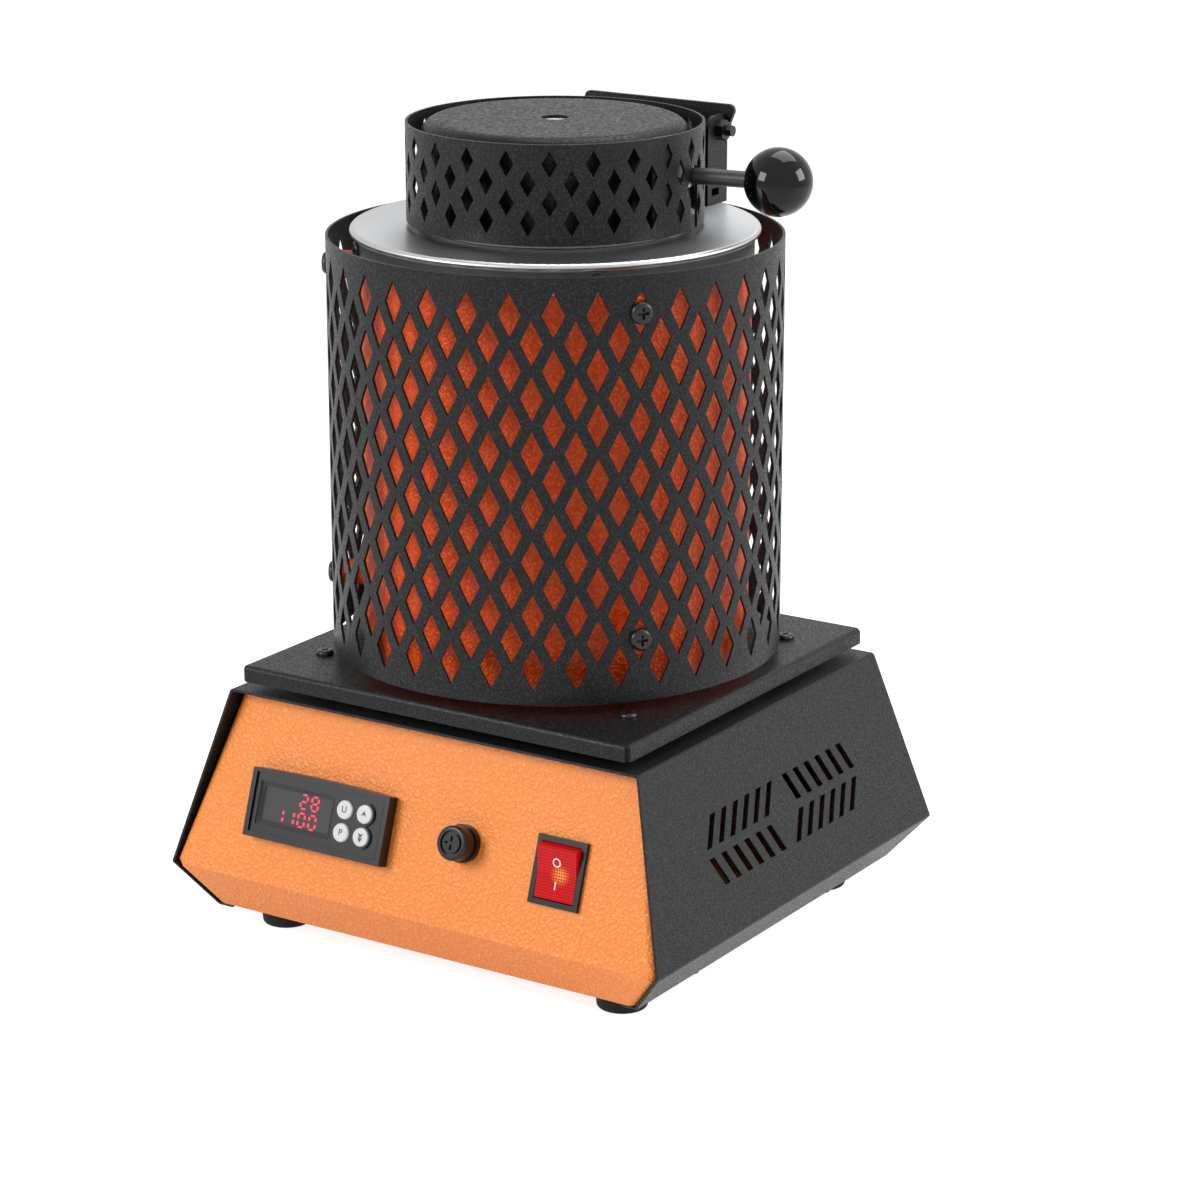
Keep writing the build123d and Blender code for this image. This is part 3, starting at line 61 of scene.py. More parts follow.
def add(tree, kind, inputs=None, **settings):
    """Add one node: its settings, then its inputs, each a value or another node's output."""
    node = tree.nodes.new(kind)
    for name, value in settings.items():
        setattr(node, name, value)
    for name, value in (inputs or {}).items():
        if isinstance(value, bpy.types.NodeSocket):
            tree.links.new(value, node.inputs[name])
        else:
            node.inputs[name].default_value = value
    return node


def new_finish(name):
    """Empty material, and its node tree."""
    finish = bpy.data.materials.new(name)
    finish.use_nodes = True
    finish.node_tree.nodes.clear()
    return finish, finish.node_tree


# ------------------------------------------------------------------ painted steel
def leather_powder_coat(name, crest, hollow):
    """Polyester powder that shrinks into pebbles as it cures, so light breaks up on it."""
    finish, tree = new_finish(name)
    where = add(tree, "ShaderNodeTexCoord").outputs["Object"]
    pebble_mm, drift_mm, pebble_height_mm = 1.5, 40.0, 0.3
    pebbles = add(tree, "ShaderNodeTexVoronoi", {
        "Vector": where, "Scale": per(pebble_mm), "Smoothness": 0.7}, feature="SMOOTH_F1")
    drift = add(tree, "ShaderNodeTexNoise", {
        "Vector": where, "Scale": per(drift_mm), "Detail": 1.0})
    height = add(tree, "ShaderNodeMapRange", {
        "Value": pebbles.outputs["Distance"], "From Min": 0.1, "From Max": 0.65, "To Min": 1.0,
        "To Max": 0.0}, interpolation_type="SMOOTHSTEP")
    # crests painted lighter and hollows darker: painted highlight and painted shade on the pebbles
    paint = add(tree, "ShaderNodeMix", {
        0: height.outputs["Result"], 6: linear(hollow), 7: linear(crest)}, data_type="RGBA")
    gloss = add(tree, "ShaderNodeMapRange", {
        "Value": drift.outputs["Fac"], "To Min": 0.32, "To Max": 0.44})
    bump = add(tree, "ShaderNodeBump", {
        "Height": height.outputs["Result"], "Strength": 0.9, "Distance": pebble_height_mm * MM})
    shader = add(tree, "ShaderNodeBsdfPrincipled", {
        "Base Color": paint.outputs[2], "Roughness": gloss.outputs["Result"], "IOR": 1.5,
        "Specular IOR Level": 0.4, "Normal": bump.outputs["Normal"]})
    add(tree, "ShaderNodeOutputMaterial", {"Surface": shader.outputs["BSDF"]})
    return finish


def sand_powder_coat(name, base, glint, grain_mm, roughness, level):
    """Fine-texture powder: a dry sandy skin, with painted glints: single grains painted lighter in the
    colour.

    Real grains are about 0.3 mm; they are drawn coarser so that they show.
    """
    finish, tree = new_finish(name)
    where = add(tree, "ShaderNodeTexCoord").outputs["Object"]
    grain_height_mm = 0.2
    dull, bright = roughness + 0.12, roughness - 0.14
    grain = add(tree, "ShaderNodeTexNoise", {
        "Vector": where, "Scale": per(grain_mm), "Detail": 2.0, "Roughness": 0.6})
    painted_glints = add(tree, "ShaderNodeMapRange", {
        "Value": grain.outputs["Fac"], "From Min": 0.46, "From Max": 0.68},
        interpolation_type="SMOOTHSTEP")
    shine = add(tree, "ShaderNodeMapRange", {
        "Value": grain.outputs["Fac"], "From Min": 0.35, "From Max": 0.65, "To Min": dull,
        "To Max": bright})
    # the lightest grains take the glint colour: painted glints
    paint = add(tree, "ShaderNodeMix", {
        0: painted_glints.outputs["Result"], 6: linear(base), 7: linear(glint)}, data_type="RGBA")
    bump = add(tree, "ShaderNodeBump", {
        "Height": grain.outputs["Fac"], "Strength": 0.6, "Distance": grain_height_mm * MM})
    shader = add(tree, "ShaderNodeBsdfPrincipled", {
        "Base Color": paint.outputs[2], "Roughness": shine.outputs["Result"], "IOR": 1.5,
        "Specular IOR Level": level, "Normal": bump.outputs["Normal"]})
    add(tree, "ShaderNodeOutputMaterial", {"Surface": shader.outputs["BSDF"]})
    return finish


# ------------------------------------------------------------------ bare metal
def spun_stainless(name):
    """Stainless sheet brushed on a lathe: rings round the axis fan the light out.

    Real lines are about 0.1 mm apart; they are drawn coarser so that they show.
    """
    finish, tree = new_finish(name)
    where = add(tree, "ShaderNodeTexCoord").outputs["Object"]
    flat = add(tree, "ShaderNodeVectorMath", {0: where, 1: (1.0, 1.0, 0.0)}, operation="MULTIPLY")
    radius = add(tree, "ShaderNodeVectorMath", {0: flat.outputs["Vector"]}, operation="LENGTH")
    line_mm, line_depth_mm = 0.45, 0.03
    lines = add(tree, "ShaderNodeTexNoise", {
        "W": radius.outputs["Value"], "Scale": per(line_mm), "Detail": 3.0}, noise_dimensions="1D")
    rough = add(tree, "ShaderNodeMapRange", {
        "Value": lines.outputs["Fac"], "To Min": 0.28, "To Max": 0.44})
    steel = add(tree, "ShaderNodeMix", {
        0: lines.outputs["Fac"], 6: linear("#A2A4A6"), 7: linear("#CCCDCF")}, data_type="RGBA")
    bump = add(tree, "ShaderNodeBump", {
        "Height": lines.outputs["Fac"], "Strength": 0.12, "Distance": line_depth_mm * MM})
    along = add(tree, "ShaderNodeTangent", direction_type="RADIAL", axis="Z")
    shader = add(tree, "ShaderNodeBsdfPrincipled", {
        "Base Color": steel.outputs[2], "Metallic": 1.0, "Roughness": rough.outputs["Result"],
        "Anisotropic": 0.6, "Normal": bump.outputs["Normal"], "Tangent": along.outputs["Tangent"]})
    add(tree, "ShaderNodeOutputMaterial", {"Surface": shader.outputs["BSDF"]})
    return finish


def worked_metal(name, low, high, roughness, mark_mm):
    """Metal as a machine leaves it: faint marks change its shade and its gloss."""
    finish, tree = new_finish(name)
    smooth, rubbed = roughness - 0.08, roughness + 0.08
    where = add(tree, "ShaderNodeTexCoord").outputs["Object"]
    marks = add(tree, "ShaderNodeTexNoise", {
        "Vector": where, "Scale": per(mark_mm), "Detail": 4.0, "Roughness": 0.6})
    colour = add(tree, "ShaderNodeMix", {
        0: marks.outputs["Fac"], 6: linear(low), 7: linear(high)}, data_type="RGBA")
    rough = add(tree, "ShaderNodeMapRange", {
        "Value": marks.outputs["Fac"], "To Min": smooth, "To Max": rubbed})
    shader = add(tree, "ShaderNodeBsdfPrincipled", {
        "Base Color": colour.outputs[2], "Metallic": 1.0, "Roughness": rough.outputs["Result"]})
    add(tree, "ShaderNodeOutputMaterial", {"Surface": shader.outputs["BSDF"]})
    return finish


# ------------------------------------------------------------------ plastics, rubber, ceramics
def moulded(name, low, high, roughness, grain_mm, depth_mm, level=0.5):
    """Moulded or pressed stuff with a fine skin: plastic, rubber, ceramic, oxide on steel.

    Real skins have a grain of a few tenths of a millimetre; it is drawn coarser so that it shows.
    """
    finish, tree = new_finish(name)
    where = add(tree, "ShaderNodeTexCoord").outputs["Object"]
    skin = add(tree, "ShaderNodeTexNoise", {
        "Vector": where, "Scale": per(grain_mm), "Detail": 4.0, "Roughness": 0.55})
    colour = add(tree, "ShaderNodeMix", {
        0: skin.outputs["Fac"], 6: linear(low), 7: linear(high)}, data_type="RGBA")
    bump = add(tree, "ShaderNodeBump", {
        "Height": skin.outputs["Fac"], "Strength": 0.4, "Distance": depth_mm * MM})
    shader = add(tree, "ShaderNodeBsdfPrincipled", {
        "Base Color": colour.outputs[2], "Roughness": roughness, "IOR": 1.5,
        "Specular IOR Level": level, "Normal": bump.outputs["Normal"]})
    add(tree, "ShaderNodeOutputMaterial", {"Surface": shader.outputs["BSDF"]})
    return finish


def smoked_acrylic(name):
    """Tinted window: the lit figures show through it, what is dark behind does not."""
    finish, tree = new_finish(name)
    where = add(tree, "ShaderNodeTexCoord").outputs["Object"]
    haze_mm = 6.0
    haze = add(tree, "ShaderNodeTexNoise", {
        "Vector": where, "Scale": per(haze_mm), "Detail": 2.0})
    tint = add(tree, "ShaderNodeMix", {
        0: haze.outputs["Fac"], 6: linear("#3E3E40"), 7: linear("#444447")}, data_type="RGBA")
    shader = add(tree, "ShaderNodeBsdfPrincipled", {
        "Base Color": tint.outputs[2], "Roughness": 0.2, "IOR": 1.49, "Alpha": 0.24})
    add(tree, "ShaderNodeOutputMaterial", {"Surface": shader.outputs["BSDF"]})
    return finish


def lit_figures(name):
    """LED bars behind a red diffuser, which spreads their light a little unevenly."""
    finish, tree = new_finish(name)
    where = add(tree, "ShaderNodeTexCoord").outputs["Object"]
    spread_mm = 1.5
    spread = add(tree, "ShaderNodeTexNoise", {
        "Vector": where, "Scale": per(spread_mm), "Detail": 1.0})
    power = add(tree, "ShaderNodeMapRange", {
        "Value": spread.outputs["Fac"], "To Min": 2.0, "To Max": 3.2})
    shader = add(tree, "ShaderNodeBsdfPrincipled", {
        "Base Color": linear("#C81E3C"), "Roughness": 0.4, "Emission Color": linear("#FF3652"),
        "Emission Strength": power.outputs["Result"]})
    add(tree, "ShaderNodeOutputMaterial", {"Surface": shader.outputs["BSDF"]})
    return finish


def lit_rocker(name, lamp):
    """Clear red polycarbonate over a neon lamp, with a grid of lenses moulded inside.

    Real lenses are about 1 mm; they are drawn coarser so that they show.
    """
    finish, tree = new_finish(name)
    where = add(tree, "ShaderNodeTexCoord").outputs["Object"]
    lens_mm, lens_height_mm, glow_mm = 1.3, 0.15, 6.0
    turned = add(tree, "ShaderNodeMapping", {"Vector": where, "Rotation": (panel_tilt, 0.0, 0.0)})
    wave_metre = 2 * pi / 20  # a wave texture of scale 1 has bands this wide
    bands = wave_metre * per(lens_mm)
    unlit = 0.22  # light that the lenses send out far from the lamp
    across = add(tree, "ShaderNodeTexWave", {
        "Vector": turned.outputs["Vector"], "Scale": bands}, bands_direction="X")
    upwards = add(tree, "ShaderNodeTexWave", {
        "Vector": turned.outputs["Vector"], "Scale": bands}, bands_direction="Z")
    lenses = add(tree, "ShaderNodeMath", {
        0: across.outputs["Fac"], 1: upwards.outputs["Fac"]}, operation="MULTIPLY")
    red = add(tree, "ShaderNodeMix", {
        0: lenses.outputs["Value"], 6: linear("#8A040A"), 7: linear("#E4141C")}, data_type="RGBA")
    far = add(tree, "ShaderNodeVectorMath", {0: where, 1: lamp}, operation="DISTANCE")
    near = add(tree, "ShaderNodeMapRange", {
        "Value": far.outputs["Value"], "From Min": 1.0 * MM, "From Max": glow_mm * MM, "To Min": 1.0,
        "To Max": 0.0}, interpolation_type="SMOOTHSTEP")
    glow = add(tree, "ShaderNodeMix", {
        0: near.outputs["Result"], 6: linear("#E80F18"), 7: linear("#FFB850")}, data_type="RGBA")
    power = add(tree, "ShaderNodeMath", {
        0: lenses.outputs["Value"], 1: near.outputs["Result"], 2: unlit}, operation="MULTIPLY_ADD")
    bump = add(tree, "ShaderNodeBump", {
        "Height": lenses.outputs["Value"], "Strength": 0.25, "Distance": lens_height_mm * MM})
    shader = add(tree, "ShaderNodeBsdfPrincipled", {
        "Base Color": red.outputs[2], "Roughness": 0.14, "IOR": 1.58, "Specular IOR Level": 0.15,
        "Emission Color": glow.outputs[2], "Emission Strength": power.outputs["Value"],
        "Normal": bump.outputs["Normal"]})
    add(tree, "ShaderNodeOutputMaterial", {"Surface": shader.outputs["BSDF"]})
    return finish


def board(name, module_back):
    """Circuit board: green lacquer, and beyond module_back the dark display module on it."""
    finish, tree = new_finish(name)
    where = add(tree, "ShaderNodeTexCoord").outputs["Object"]
    height = add(tree, "ShaderNodeVectorMath", {0: where, 1: panel_out}, operation="DOT_PRODUCT")
    module = add(tree, "ShaderNodeMath", {
        0: height.outputs["Value"], 1: module_back}, operation="GREATER_THAN")
    flow_mm = 3.0
    lacquer = add(tree, "ShaderNodeTexNoise", {
        "Vector": where, "Scale": per(flow_mm), "Detail": 3.0})
    green = add(tree, "ShaderNodeMix", {
        0: lacquer.outputs["Fac"], 6: linear("#0C4A24"), 7: linear("#18693A")}, data_type="RGBA")
    colour = add(tree, "ShaderNodeMix", {
        0: module.outputs["Value"], 6: green.outputs[2], 7: linear("#444446")}, data_type="RGBA")
    shader = add(tree, "ShaderNodeBsdfPrincipled", {
        "Base Color": colour.outputs[2], "Roughness": 0.4})
    add(tree, "ShaderNodeOutputMaterial", {"Surface": shader.outputs["BSDF"]})
    return finish


# ------------------------------------------------------------------ places on the front panel
# the panel leans back from the waist, the widest line of the base, to the base's top
waist_y, waist_z = -125.0, 32.5
top_y, top_z = -96.5, 117.0
panel_tilt = atan2(top_y - waist_y, top_z - waist_z)
panel_out = Vector((0.0, -cos(panel_tilt), sin(panel_tilt)))
panel_up = Vector((0.0, sin(panel_tilt), cos(panel_tilt)))

# middles of the controller and the switch: across, and up the slope from the waist
controller_x, controller_s = -54.0, 37.5
switch_x, switch_s = 76.5, 36.5


def on_panel(x, s, out=0.0, lean=0.0):
    """Place on the front panel, x across and s up the slope, from millimetres to metres."""
    origin = Vector((x, waist_y, waist_z)) + panel_up * s + panel_out * out
    axes = Matrix((Vector((1, 0, 0)), panel_up, panel_out)).transposed().to_4x4()
    turn = Matrix.Rotation(radians(lean), 4, "X")
    return Matrix.Scale(MM, 4) @ Matrix.Translation(origin) @ axes @ turn


# ------------------------------------------------------------------ the finishes, by the record's slots
lamp_right, lamp_down, lamp_out = 2.0, 1.0, 3.0  # of the neon lamp, from the switch's middle
rocker_lamp = on_panel(switch_x + lamp_right, switch_s - lamp_down, lamp_out).to_translation()
module_out, module_depth = 2.0, 0.5  # of the display module's face, and how far back it starts
module_face = on_panel(controller_x, controller_s, module_out).to_translation().dot(panel_out)
finishes = {
    # shrunk powder: pebbles, with a painted highlight on each crest and painted shade in the hollows
    "orange_powder_coat": leather_powder_coat("leather_powder_coat_orange", "#F79A48", "#EC8434"),
    # sprayed fine-texture powder: near black face on, grainy with painted glints, and lighter along the
    # light
    "grey_powder_coat": sand_powder_coat("sand_powder_coat_grey", "#0B0C0D", "#2C2E30", 0.9, 0.43, 0.22),
    # finer powder over a deep-drawn pan: smoother, with painted glints and a sheen on its rounded edge
    "black_enamel": sand_powder_coat("satin_powder_coat_black", "#090A0B", "#1E2022", 1.4, 0.42, 0.14),
    # oil-dipped oxide: dark, with a thin shine on the heads' rims
    "black_screw": moulded("black_oxide_steel", "#0B0B0C", "#1A1A1C", 0.3, 1.2, 0.02, 0.4),
    # electroplated zinc: pale and slightly cloudy
    "zinc_steel": worked_metal("zinc_plated_steel", "#A8ABB0", "#D5D8DB", 0.3, 2.0),
    # painted bar: satin, drawn smooth along its length
    "black_steel": moulded("satin_black_rod", "#131415", "#222425", 0.36, 1.5, 0.02, 0.6),
    # buffed phenolic: a black mirror for the lamps
    "black_bakelite": moulded("polished_bakelite", "#030304", "#060607", 0.06, 9.0, 0.005, 0.28),
    # moulded rubber: dull, with a bloom that hides its edges
    "foot_rubber": moulded("foot_rubber", "#0D0D0E", "#181819", 0.75, 1.0, 0.06, 0.3),
    # spun and brushed sheet: ring-shaped lines that smear what it mirrors
    "stainless_steel": spun_stainless("spun_stainless"),
    # felted fibre: chalky white with a soft nap
    "ceramic_fibre": moulded("ceramic_fibre_felt", "#DAD6CC", "#F4F1EA", 0.95, 1.6, 0.3, 0.1),
    # slip-cast and fired clay: matt cream with fine pits
    "fired_ceramic": moulded("fired_ceramic", "#C9BBA6", "#E2D8C8", 0.8, 2.2, 0.12, 0.2),
    # turned graphite: dark grey with a greasy sheen
    "graphite": moulded("machined_graphite", "#2E2F31", "#48494C", 0.5, 1.0, 0.05),
    # drawn wire that has been red hot: brown-grey scale
    "resistance_wire": worked_metal("oxidised_resistance_wire", "#4E4742", "#7A7068", 0.5, 2.0),
    # spark-eroded mould: an even fine grain that dulls the plastic
    "black_plastic": moulded("moulded_abs_black", "#0F1012", "#1A1B1E", 0.3, 0.9, 0.05, 0.4),
    # cast sheet with a smoke dye: a dark gloss that only the lit figures come through
    "smoked_window": smoked_acrylic("smoked_acrylic"),
    # lacquer cured over copper: green with a soft gloss, and the dark moulded display on it
    "circuit_board": board("lacquered_board", module_face - module_depth * MM),
    # chips cast into a diffuser: bars of red light, a little uneven along their length
    "red_led": lit_figures("lit_led_bars"),
    # pigment with pearl, moulded glossy: a milky white that stays bright
    "button_plastic": moulded("pearl_button_plastic", "#C4C6C8", "#DCDDDF", 0.28, 3.0, 0.01),
    # drawn tube: colourless, with its outline and highlights only
    "fuse_glass": moulded("fuse_glass", "#C6D2D2", "#E2EAEA", 0.05, 8.0, 0.01),
    # clear red plastic moulded over small lenses: a glowing grid, warmest at the lamp
    "red_rocker": lit_rocker("lit_red_polycarbonate", rocker_lamp),
    # stamped strip: yellow with faint rolling marks
    "brass": worked_metal("plain_brass", "#B48B35", "#D9B561", 0.3, 2.0),
    # moulded case: plain, a little dull
    "relay_plastic": moulded("white_relay_case", "#C4C4BE", "#DADAD6", 0.5, 1.0, 0.04),
    # extruded fins: pale with a fine drag
    "aluminium": worked_metal("extruded_aluminium", "#B4B8BC", "#D2D5D8", 0.36, 1.5),
}
# the same powder, deeper and redder: painted shade for the shell and spacers that sit in the guard's
# shade
orange_in_painted_shade = leather_powder_coat("leather_powder_coat_deep_orange", "#FF661C", "#E4480A")
# thermoset moulded bright: blacker and shinier than the controller
fuse_plastic = moulded("moulded_black_thermoset", "#08080A", "#101012", 0.26, 1.4, 0.02, 0.35)
# pad-printed ink: flat, with the faintest flow
white_print = moulded("white_print", "#E8E8E8", "#F8F8F8", 0.5, 2.0, 0.01)
grey_print = moulded("grey_print", "#2A3036", "#414A53", 0.5, 2.0, 0.01)


def dress(name, finish):
    """Give one of the CAD nodes its finish."""
    for place in nodes[name].material_slots:
        place.material = finish


for part in frame["record"]["subparts"]:
    dress(part["node"], finishes[part["material_slot"]])
# the shell and spacers behind the guard take the darker copy of the orange: painted shade
for name in ("furnace_shell", "guard_spacers"):
    dress(name, orange_in_painted_shade)
for name in ("fuse_cap", "fuse_holder", "fuse_nut", "switch_body"):
    dress(name, fuse_plastic)


# ------------------------------------------------------------------ small pieces
def finish_piece(name, shape, finish, body):
    """Turn a shape into a piece that rides on a body."""
    bmesh.ops.recalc_face_normals(shape, faces=shape.faces)
    mesh = bpy.data.meshes.new(name)
    shape.to_mesh(mesh)
    shape.free()
    mesh.materials.append(finish)
    piece = bpy.data.objects.new(name, mesh)
    scene.collection.objects.link(piece)
    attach(piece, body)
    return piece


def raise_outline(shape, points, height):
    """Closed plate from a few corners, raised from the plane it lies in."""
    corners = [shape.verts.new((x, y, 0.0)) for x, y in points]
    face = shape.faces.new(corners)
    grown = bmesh.ops.extrude_face_region(shape, geom=[face])
    top = [part for part in grown["geom"] if isinstance(part, bmesh.types.BMVert)]
    bmesh.ops.translate(shape, verts=top, vec=(0.0, 0.0, height))


def bent_band(shape, centre, inner, outer, height, begin, sweep):
    """Ring or part of a ring: a small upright section spun round a centre, in steps of 10 degrees."""
    section = [shape.verts.new((centre[0] + radius, centre[1], level))
               for radius, level in ((inner, 0.0), (outer, 0.0), (outer, height), (inner, height))]
    face = shape.faces.new(section)
    middle = (centre[0], centre[1], 0.0)
    bmesh.ops.rotate(shape, verts=section, cent=middle, matrix=Matrix.Rotation(radians(begin), 3, "Z"))
    full = sweep >= 360
    geometry = list(face.verts) + list(face.edges) + [face]
    bmesh.ops.spin(shape, geom=geometry, cent=middle, axis=(0, 0, 1), angle=radians(sweep),
                   steps=max(8, int(sweep / 10)), use_merge=full, use_duplicate=False)
    if full:
        bmesh.ops.remove_doubles(shape, verts=shape.verts, dist=1e-4)


# sloping frame round the controller's window and buttons, mitred at its corners
face_out, rim_out = 5.5, 6.5  # of the controller's face and its rim, from the panel
half_x, half_y, slope_width = 36.4, 13.9, 2.3
slope_high, slope_low = rim_out - face_out + 0.1, 0.12  # above the face, outside and inside
at_edge = 0.1  # a corner nearer to the outline than this is an outer one
slopes = bmesh.new()
corners = [(-half_x, -half_y), (half_x, -half_y), (half_x, half_y), (-half_x, half_y)]
plate = slopes.faces.new([slopes.verts.new((x, y, 0.0)) for x, y in corners])
border = bmesh.ops.inset_region(
    slopes, faces=[plate], thickness=slope_width, depth=0.0, use_boundary=True,
    use_even_offset=True)["faces"]
bmesh.ops.delete(slopes, geom=[plate], context="FACES")
grown = bmesh.ops.extrude_face_region(slopes, geom=border)
for vert in [part for part in grown["geom"] if isinstance(part, bmesh.types.BMVert)]:
    outside = abs(vert.co.x) > half_x - at_edge or abs(vert.co.y) > half_y - at_edge
    vert.co.z = slope_high if outside else slope_low
slopes.transform(on_panel(controller_x, controller_s, face_out))
finish_piece("controller_slopes", slopes, finishes["black_plastic"], "furnace")

# lips that follow the two right-hand buttons
button_x, pitch_x, pitch_y = 21.0, 11.2, 10.6  # middle of the four buttons, and their pitches
lip_inner, lip_outer, lip_height = 4.9, 5.5, 1.1
lip_begin, lip_sweep = -75, 150  # degrees
lip_round, sharp_angle = 0.12, 0.6  # an edge that turns by more radians than this is rounded
lips = bmesh.new()
for row in (1, -1):
    spot = (button_x + pitch_x / 2, row * pitch_y / 2)
    bent_band(lips, spot, lip_inner, lip_outer, lip_height, lip_begin, lip_sweep)
sharp = [edge for edge in lips.edges
         if len(edge.link_faces) == 2 and edge.calc_face_angle() > sharp_angle]
bmesh.ops.bevel(lips, geom=sharp, offset=lip_round, segments=2, affect="EDGES", profile=0.5, material=-1)
lips.transform(on_panel(controller_x, controller_s, face_out))
finish_piece("controller_button_lips", lips, finishes["black_plastic"], "furnace")

# print on the buttons and the rocker: thicker than real ink, so that it stands clear of the plastic
button_ink, rocker_ink = 0.04, 0.06


def letter(text, height):
    """Shape of one letter, centred, in millimetres."""
    capital_share = 0.72  # height of a capital over the type size
    curve = bpy.data.curves.new("letter", "FONT")
    curve.body = text
    curve.size = height / capital_share
    curve.align_x = "CENTER"
    curve.align_y = "CENTER"
    curve.extrude = button_ink / 2
    curve.offset = 0.07  # bolder strokes
    holder = bpy.data.objects.new("letter", curve)
    scene.collection.objects.link(holder)
    mesh = bpy.data.meshes.new_from_object(holder)
    shape = bmesh.new()
    shape.from_mesh(mesh)
    bmesh.ops.remove_doubles(shape, verts=shape.verts, dist=1e-4)
    bpy.data.objects.remove(holder)
    bpy.data.meshes.remove(mesh)
    bpy.data.curves.remove(curve)
    return shape


def arrow(middles, turn):
    """Arrow heads with a notch in the back, one at each height."""
    tip, wing, half_width, notch = 1.6, -1.0, 1.55, -0.3
    shape = bmesh.new()
    for middle in middles:
        raise_outline(shape, [
            (0.0, middle + tip), (half_width, middle + wing),
            (0.0, middle + notch), (-half_width, middle + wing)], button_ink)
    bmesh.ops.rotate(shape, verts=shape.verts, matrix=Matrix.Rotation(radians(turn), 3, "Z"))
    return shape


button_face = face_out + 1.3  # from the panel
letter_height, double_arrow = 3.0, 0.9  # the two heads of a double arrow, each side of its middle
for name, mark, column, row in (
    ("button_output", letter("U", letter_height), -1, 1),
    ("button_up", arrow((0.0,), 0), 1, 1),
    ("button_program", letter("P", letter_height), -1, -1),
    ("button_down", arrow((-double_arrow, double_arrow), 180), 1, -1),
):
    mark_x = controller_x + button_x + column * pitch_x / 2
    mark_s = controller_s + row * pitch_y / 2
    mark.transform(on_panel(mark_x, mark_s, button_face))
    finish_piece(name + "_mark", mark, grey_print, name)

# the rocker leans back on its pin, and its two faces rise from the middle to the ends
rocker_lean, pin_out = 10.0, -1.0
middle_rise, end_rise, half_rocker = 3.4, 5.0, 12.7
face_slope = atan2(end_rise - middle_rise, half_rocker)
pin = on_panel(switch_x, switch_s, pin_out, rocker_lean)


def print_on_rocker(name, mark, up):
    """Lay a mark on one of the rocker's faces, above its middle or below."""
    rise = middle_rise + abs(up) * (end_rise - middle_rise) / half_rocker
    slope = face_slope if up > 0 else -face_slope
    mark.transform(pin @ Matrix.Translation((0.0, up, rise)) @ Matrix.Rotation(slope, 4, "X"))
    finish_piece(name, mark, white_print, "switch_rocker")


mark_up, ring_inner, ring_outer = 5.2, 1.55, 2.1
half_bar_x, half_bar_y = 0.28, 1.9
ring = bmesh.new()
bent_band(ring, (0.0, 0.0), ring_inner, ring_outer, rocker_ink, 0, 360)
print_on_rocker("rocker_ring", ring, mark_up)
bar = bmesh.new()
raise_outline(bar, [
    (-half_bar_x, -half_bar_y), (half_bar_x, -half_bar_y),
    (half_bar_x, half_bar_y), (-half_bar_x, half_bar_y)], rocker_ink)
print_on_rocker("rocker_bar", bar, -mark_up)

# ------------------------------------------------------------------ floor, world, lamps, camera
floor_half = 30.0
sheet = bmesh.new()
bmesh.ops.create_grid(sheet, x_segments=1, y_segments=1, size=floor_half)
floor_mesh = bpy.data.meshes.new("floor")
sheet.to_mesh(floor_mesh)
sheet.free()
floor = bpy.data.objects.new("floor", floor_mesh)
scene.collection.objects.link(floor)


def seen_ray(tree):
    """1 where the ray comes from the camera or by way of metal or glass."""
    path = add(tree, "ShaderNodeLightPath")
    direct = add(tree, "ShaderNodeMath", {
        0: path.outputs["Is Camera Ray"], 1: path.outputs["Is Glossy Ray"]}, operation="MAXIMUM")
    seen = add(tree, "ShaderNodeMath", {
        0: direct.outputs["Value"], 1: path.outputs["Is Transmission Ray"]}, operation="MAXIMUM")
    return seen.outputs["Value"]


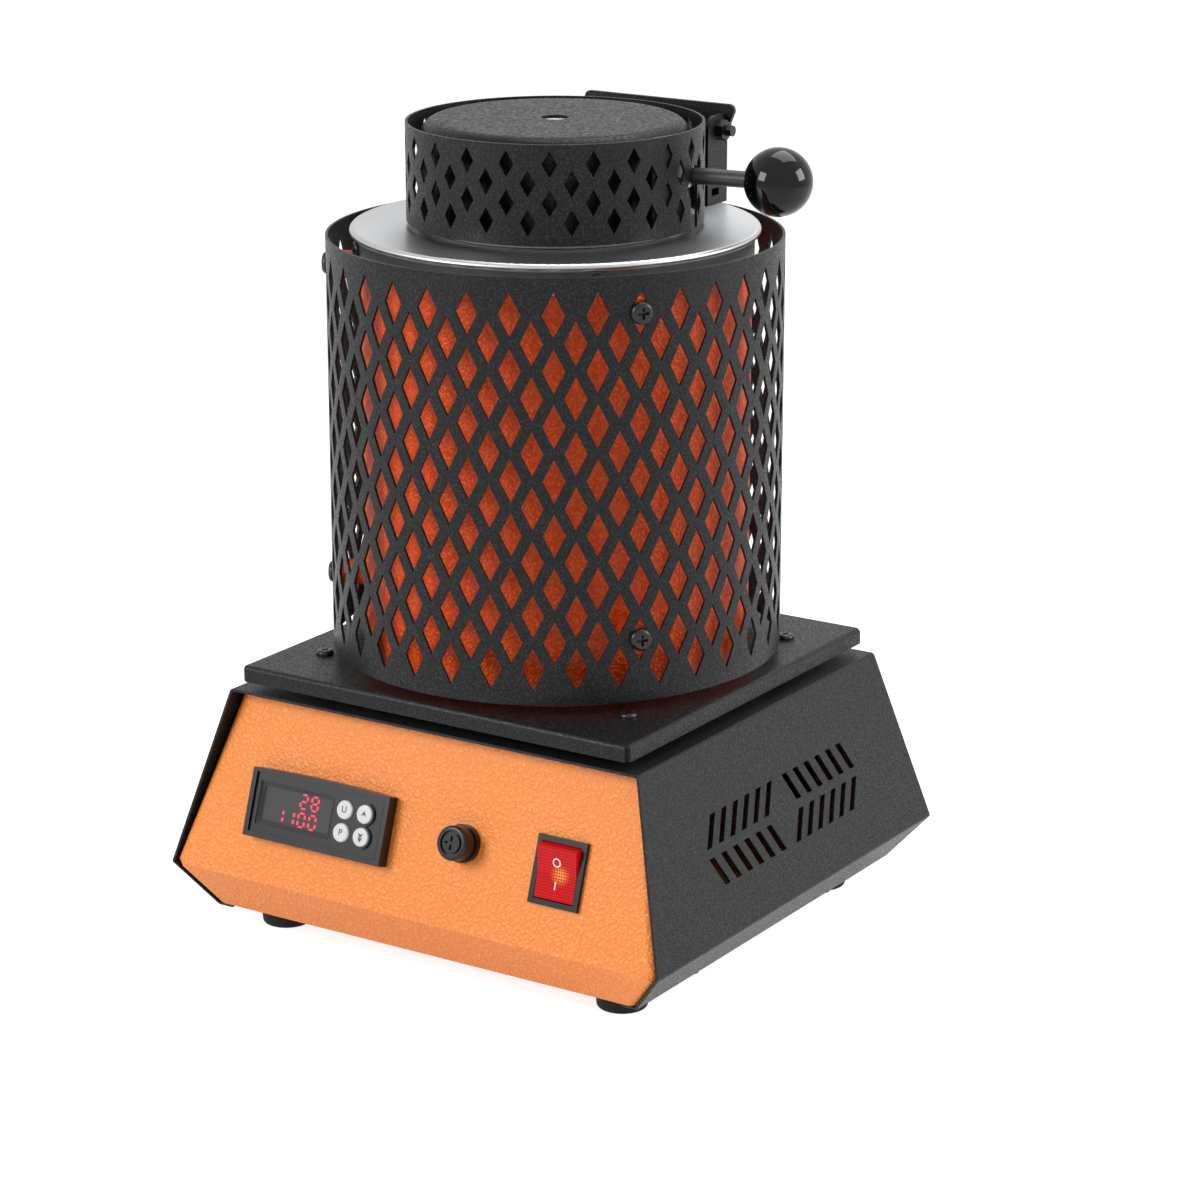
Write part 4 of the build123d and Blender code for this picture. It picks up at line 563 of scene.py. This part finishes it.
# matt paper: it lights the object as plain paper, and is seen as white that keeps the shadow
paper_glow = 0.83
paper, tree = new_finish("studio_paper")
plain = add(tree, "ShaderNodeBsdfDiffuse", {"Color": linear("#E4E4E4")})
shaded = add(tree, "ShaderNodeBsdfDiffuse", {"Color": linear("#B4B4B4")})
glow = add(tree, "ShaderNodeEmission", {"Color": linear("#FFFFFF"), "Strength": paper_glow})
bright = add(tree, "ShaderNodeAddShader", {0: shaded.outputs["BSDF"], 1: glow.outputs["Emission"]})
shown = add(tree, "ShaderNodeMixShader", {
    0: seen_ray(tree), 1: plain.outputs["BSDF"], 2: bright.outputs["Shader"]})
add(tree, "ShaderNodeOutputMaterial", {"Surface": shown.outputs["Shader"]})
floor.data.materials.append(paper)

world = bpy.data.worlds.new("studio")
scene.world = world
world.use_nodes = True
tree = world.node_tree
tree.nodes.clear()
fill = 0.4  # light that the room gives the object; seen directly it is full white
level = add(tree, "ShaderNodeMath", {
    0: seen_ray(tree), 1: 1.0 - fill, 2: fill}, operation="MULTIPLY_ADD")
sky = add(tree, "ShaderNodeBackground", {
    "Color": linear("#FFFFFF"), "Strength": level.outputs["Value"]})
add(tree, "ShaderNodeOutputWorld", {"Surface": sky.outputs["Background"]})


def softbox(name, place, aim, size, power):
    """Square lamp turned towards a point."""
    data = bpy.data.lights.new(name, "AREA")
    data.shape = "SQUARE"
    data.size = size
    data.energy = power
    lamp = bpy.data.objects.new(name, data)
    lamp.location = place
    lamp.rotation_euler = (Vector(aim) - Vector(place)).to_track_quat("-Z", "Y").to_euler()
    scene.collection.objects.link(lamp)


middle = (0.0, 0.0, 0.18)
softbox("front_left_softbox", place=(-0.9, -1.7, 1.1), aim=middle, size=0.9, power=28.5)
softbox("right_rear_softbox", place=(1.5, 0.7, 0.9), aim=middle, size=0.8, power=20.0)
softbox("overhead_softbox", place=(0.1, 0.5, 1.5), aim=middle, size=1.0, power=12.0)

camera = bpy.data.cameras.new("camera")
camera.lens = 110.9
camera.sensor_width = 36.0
camera.clip_start, camera.clip_end = 0.05, 100.0
stand = bpy.data.objects.new("camera", camera)
stand.location = (0.9224, -1.3860, 0.6546)
target = Vector((0.01707, 0.01106, 0.1517))
stand.rotation_euler = (target - stand.location).to_track_quat("-Z", "Y").to_euler()
scene.collection.objects.link(stand)
scene.camera = stand
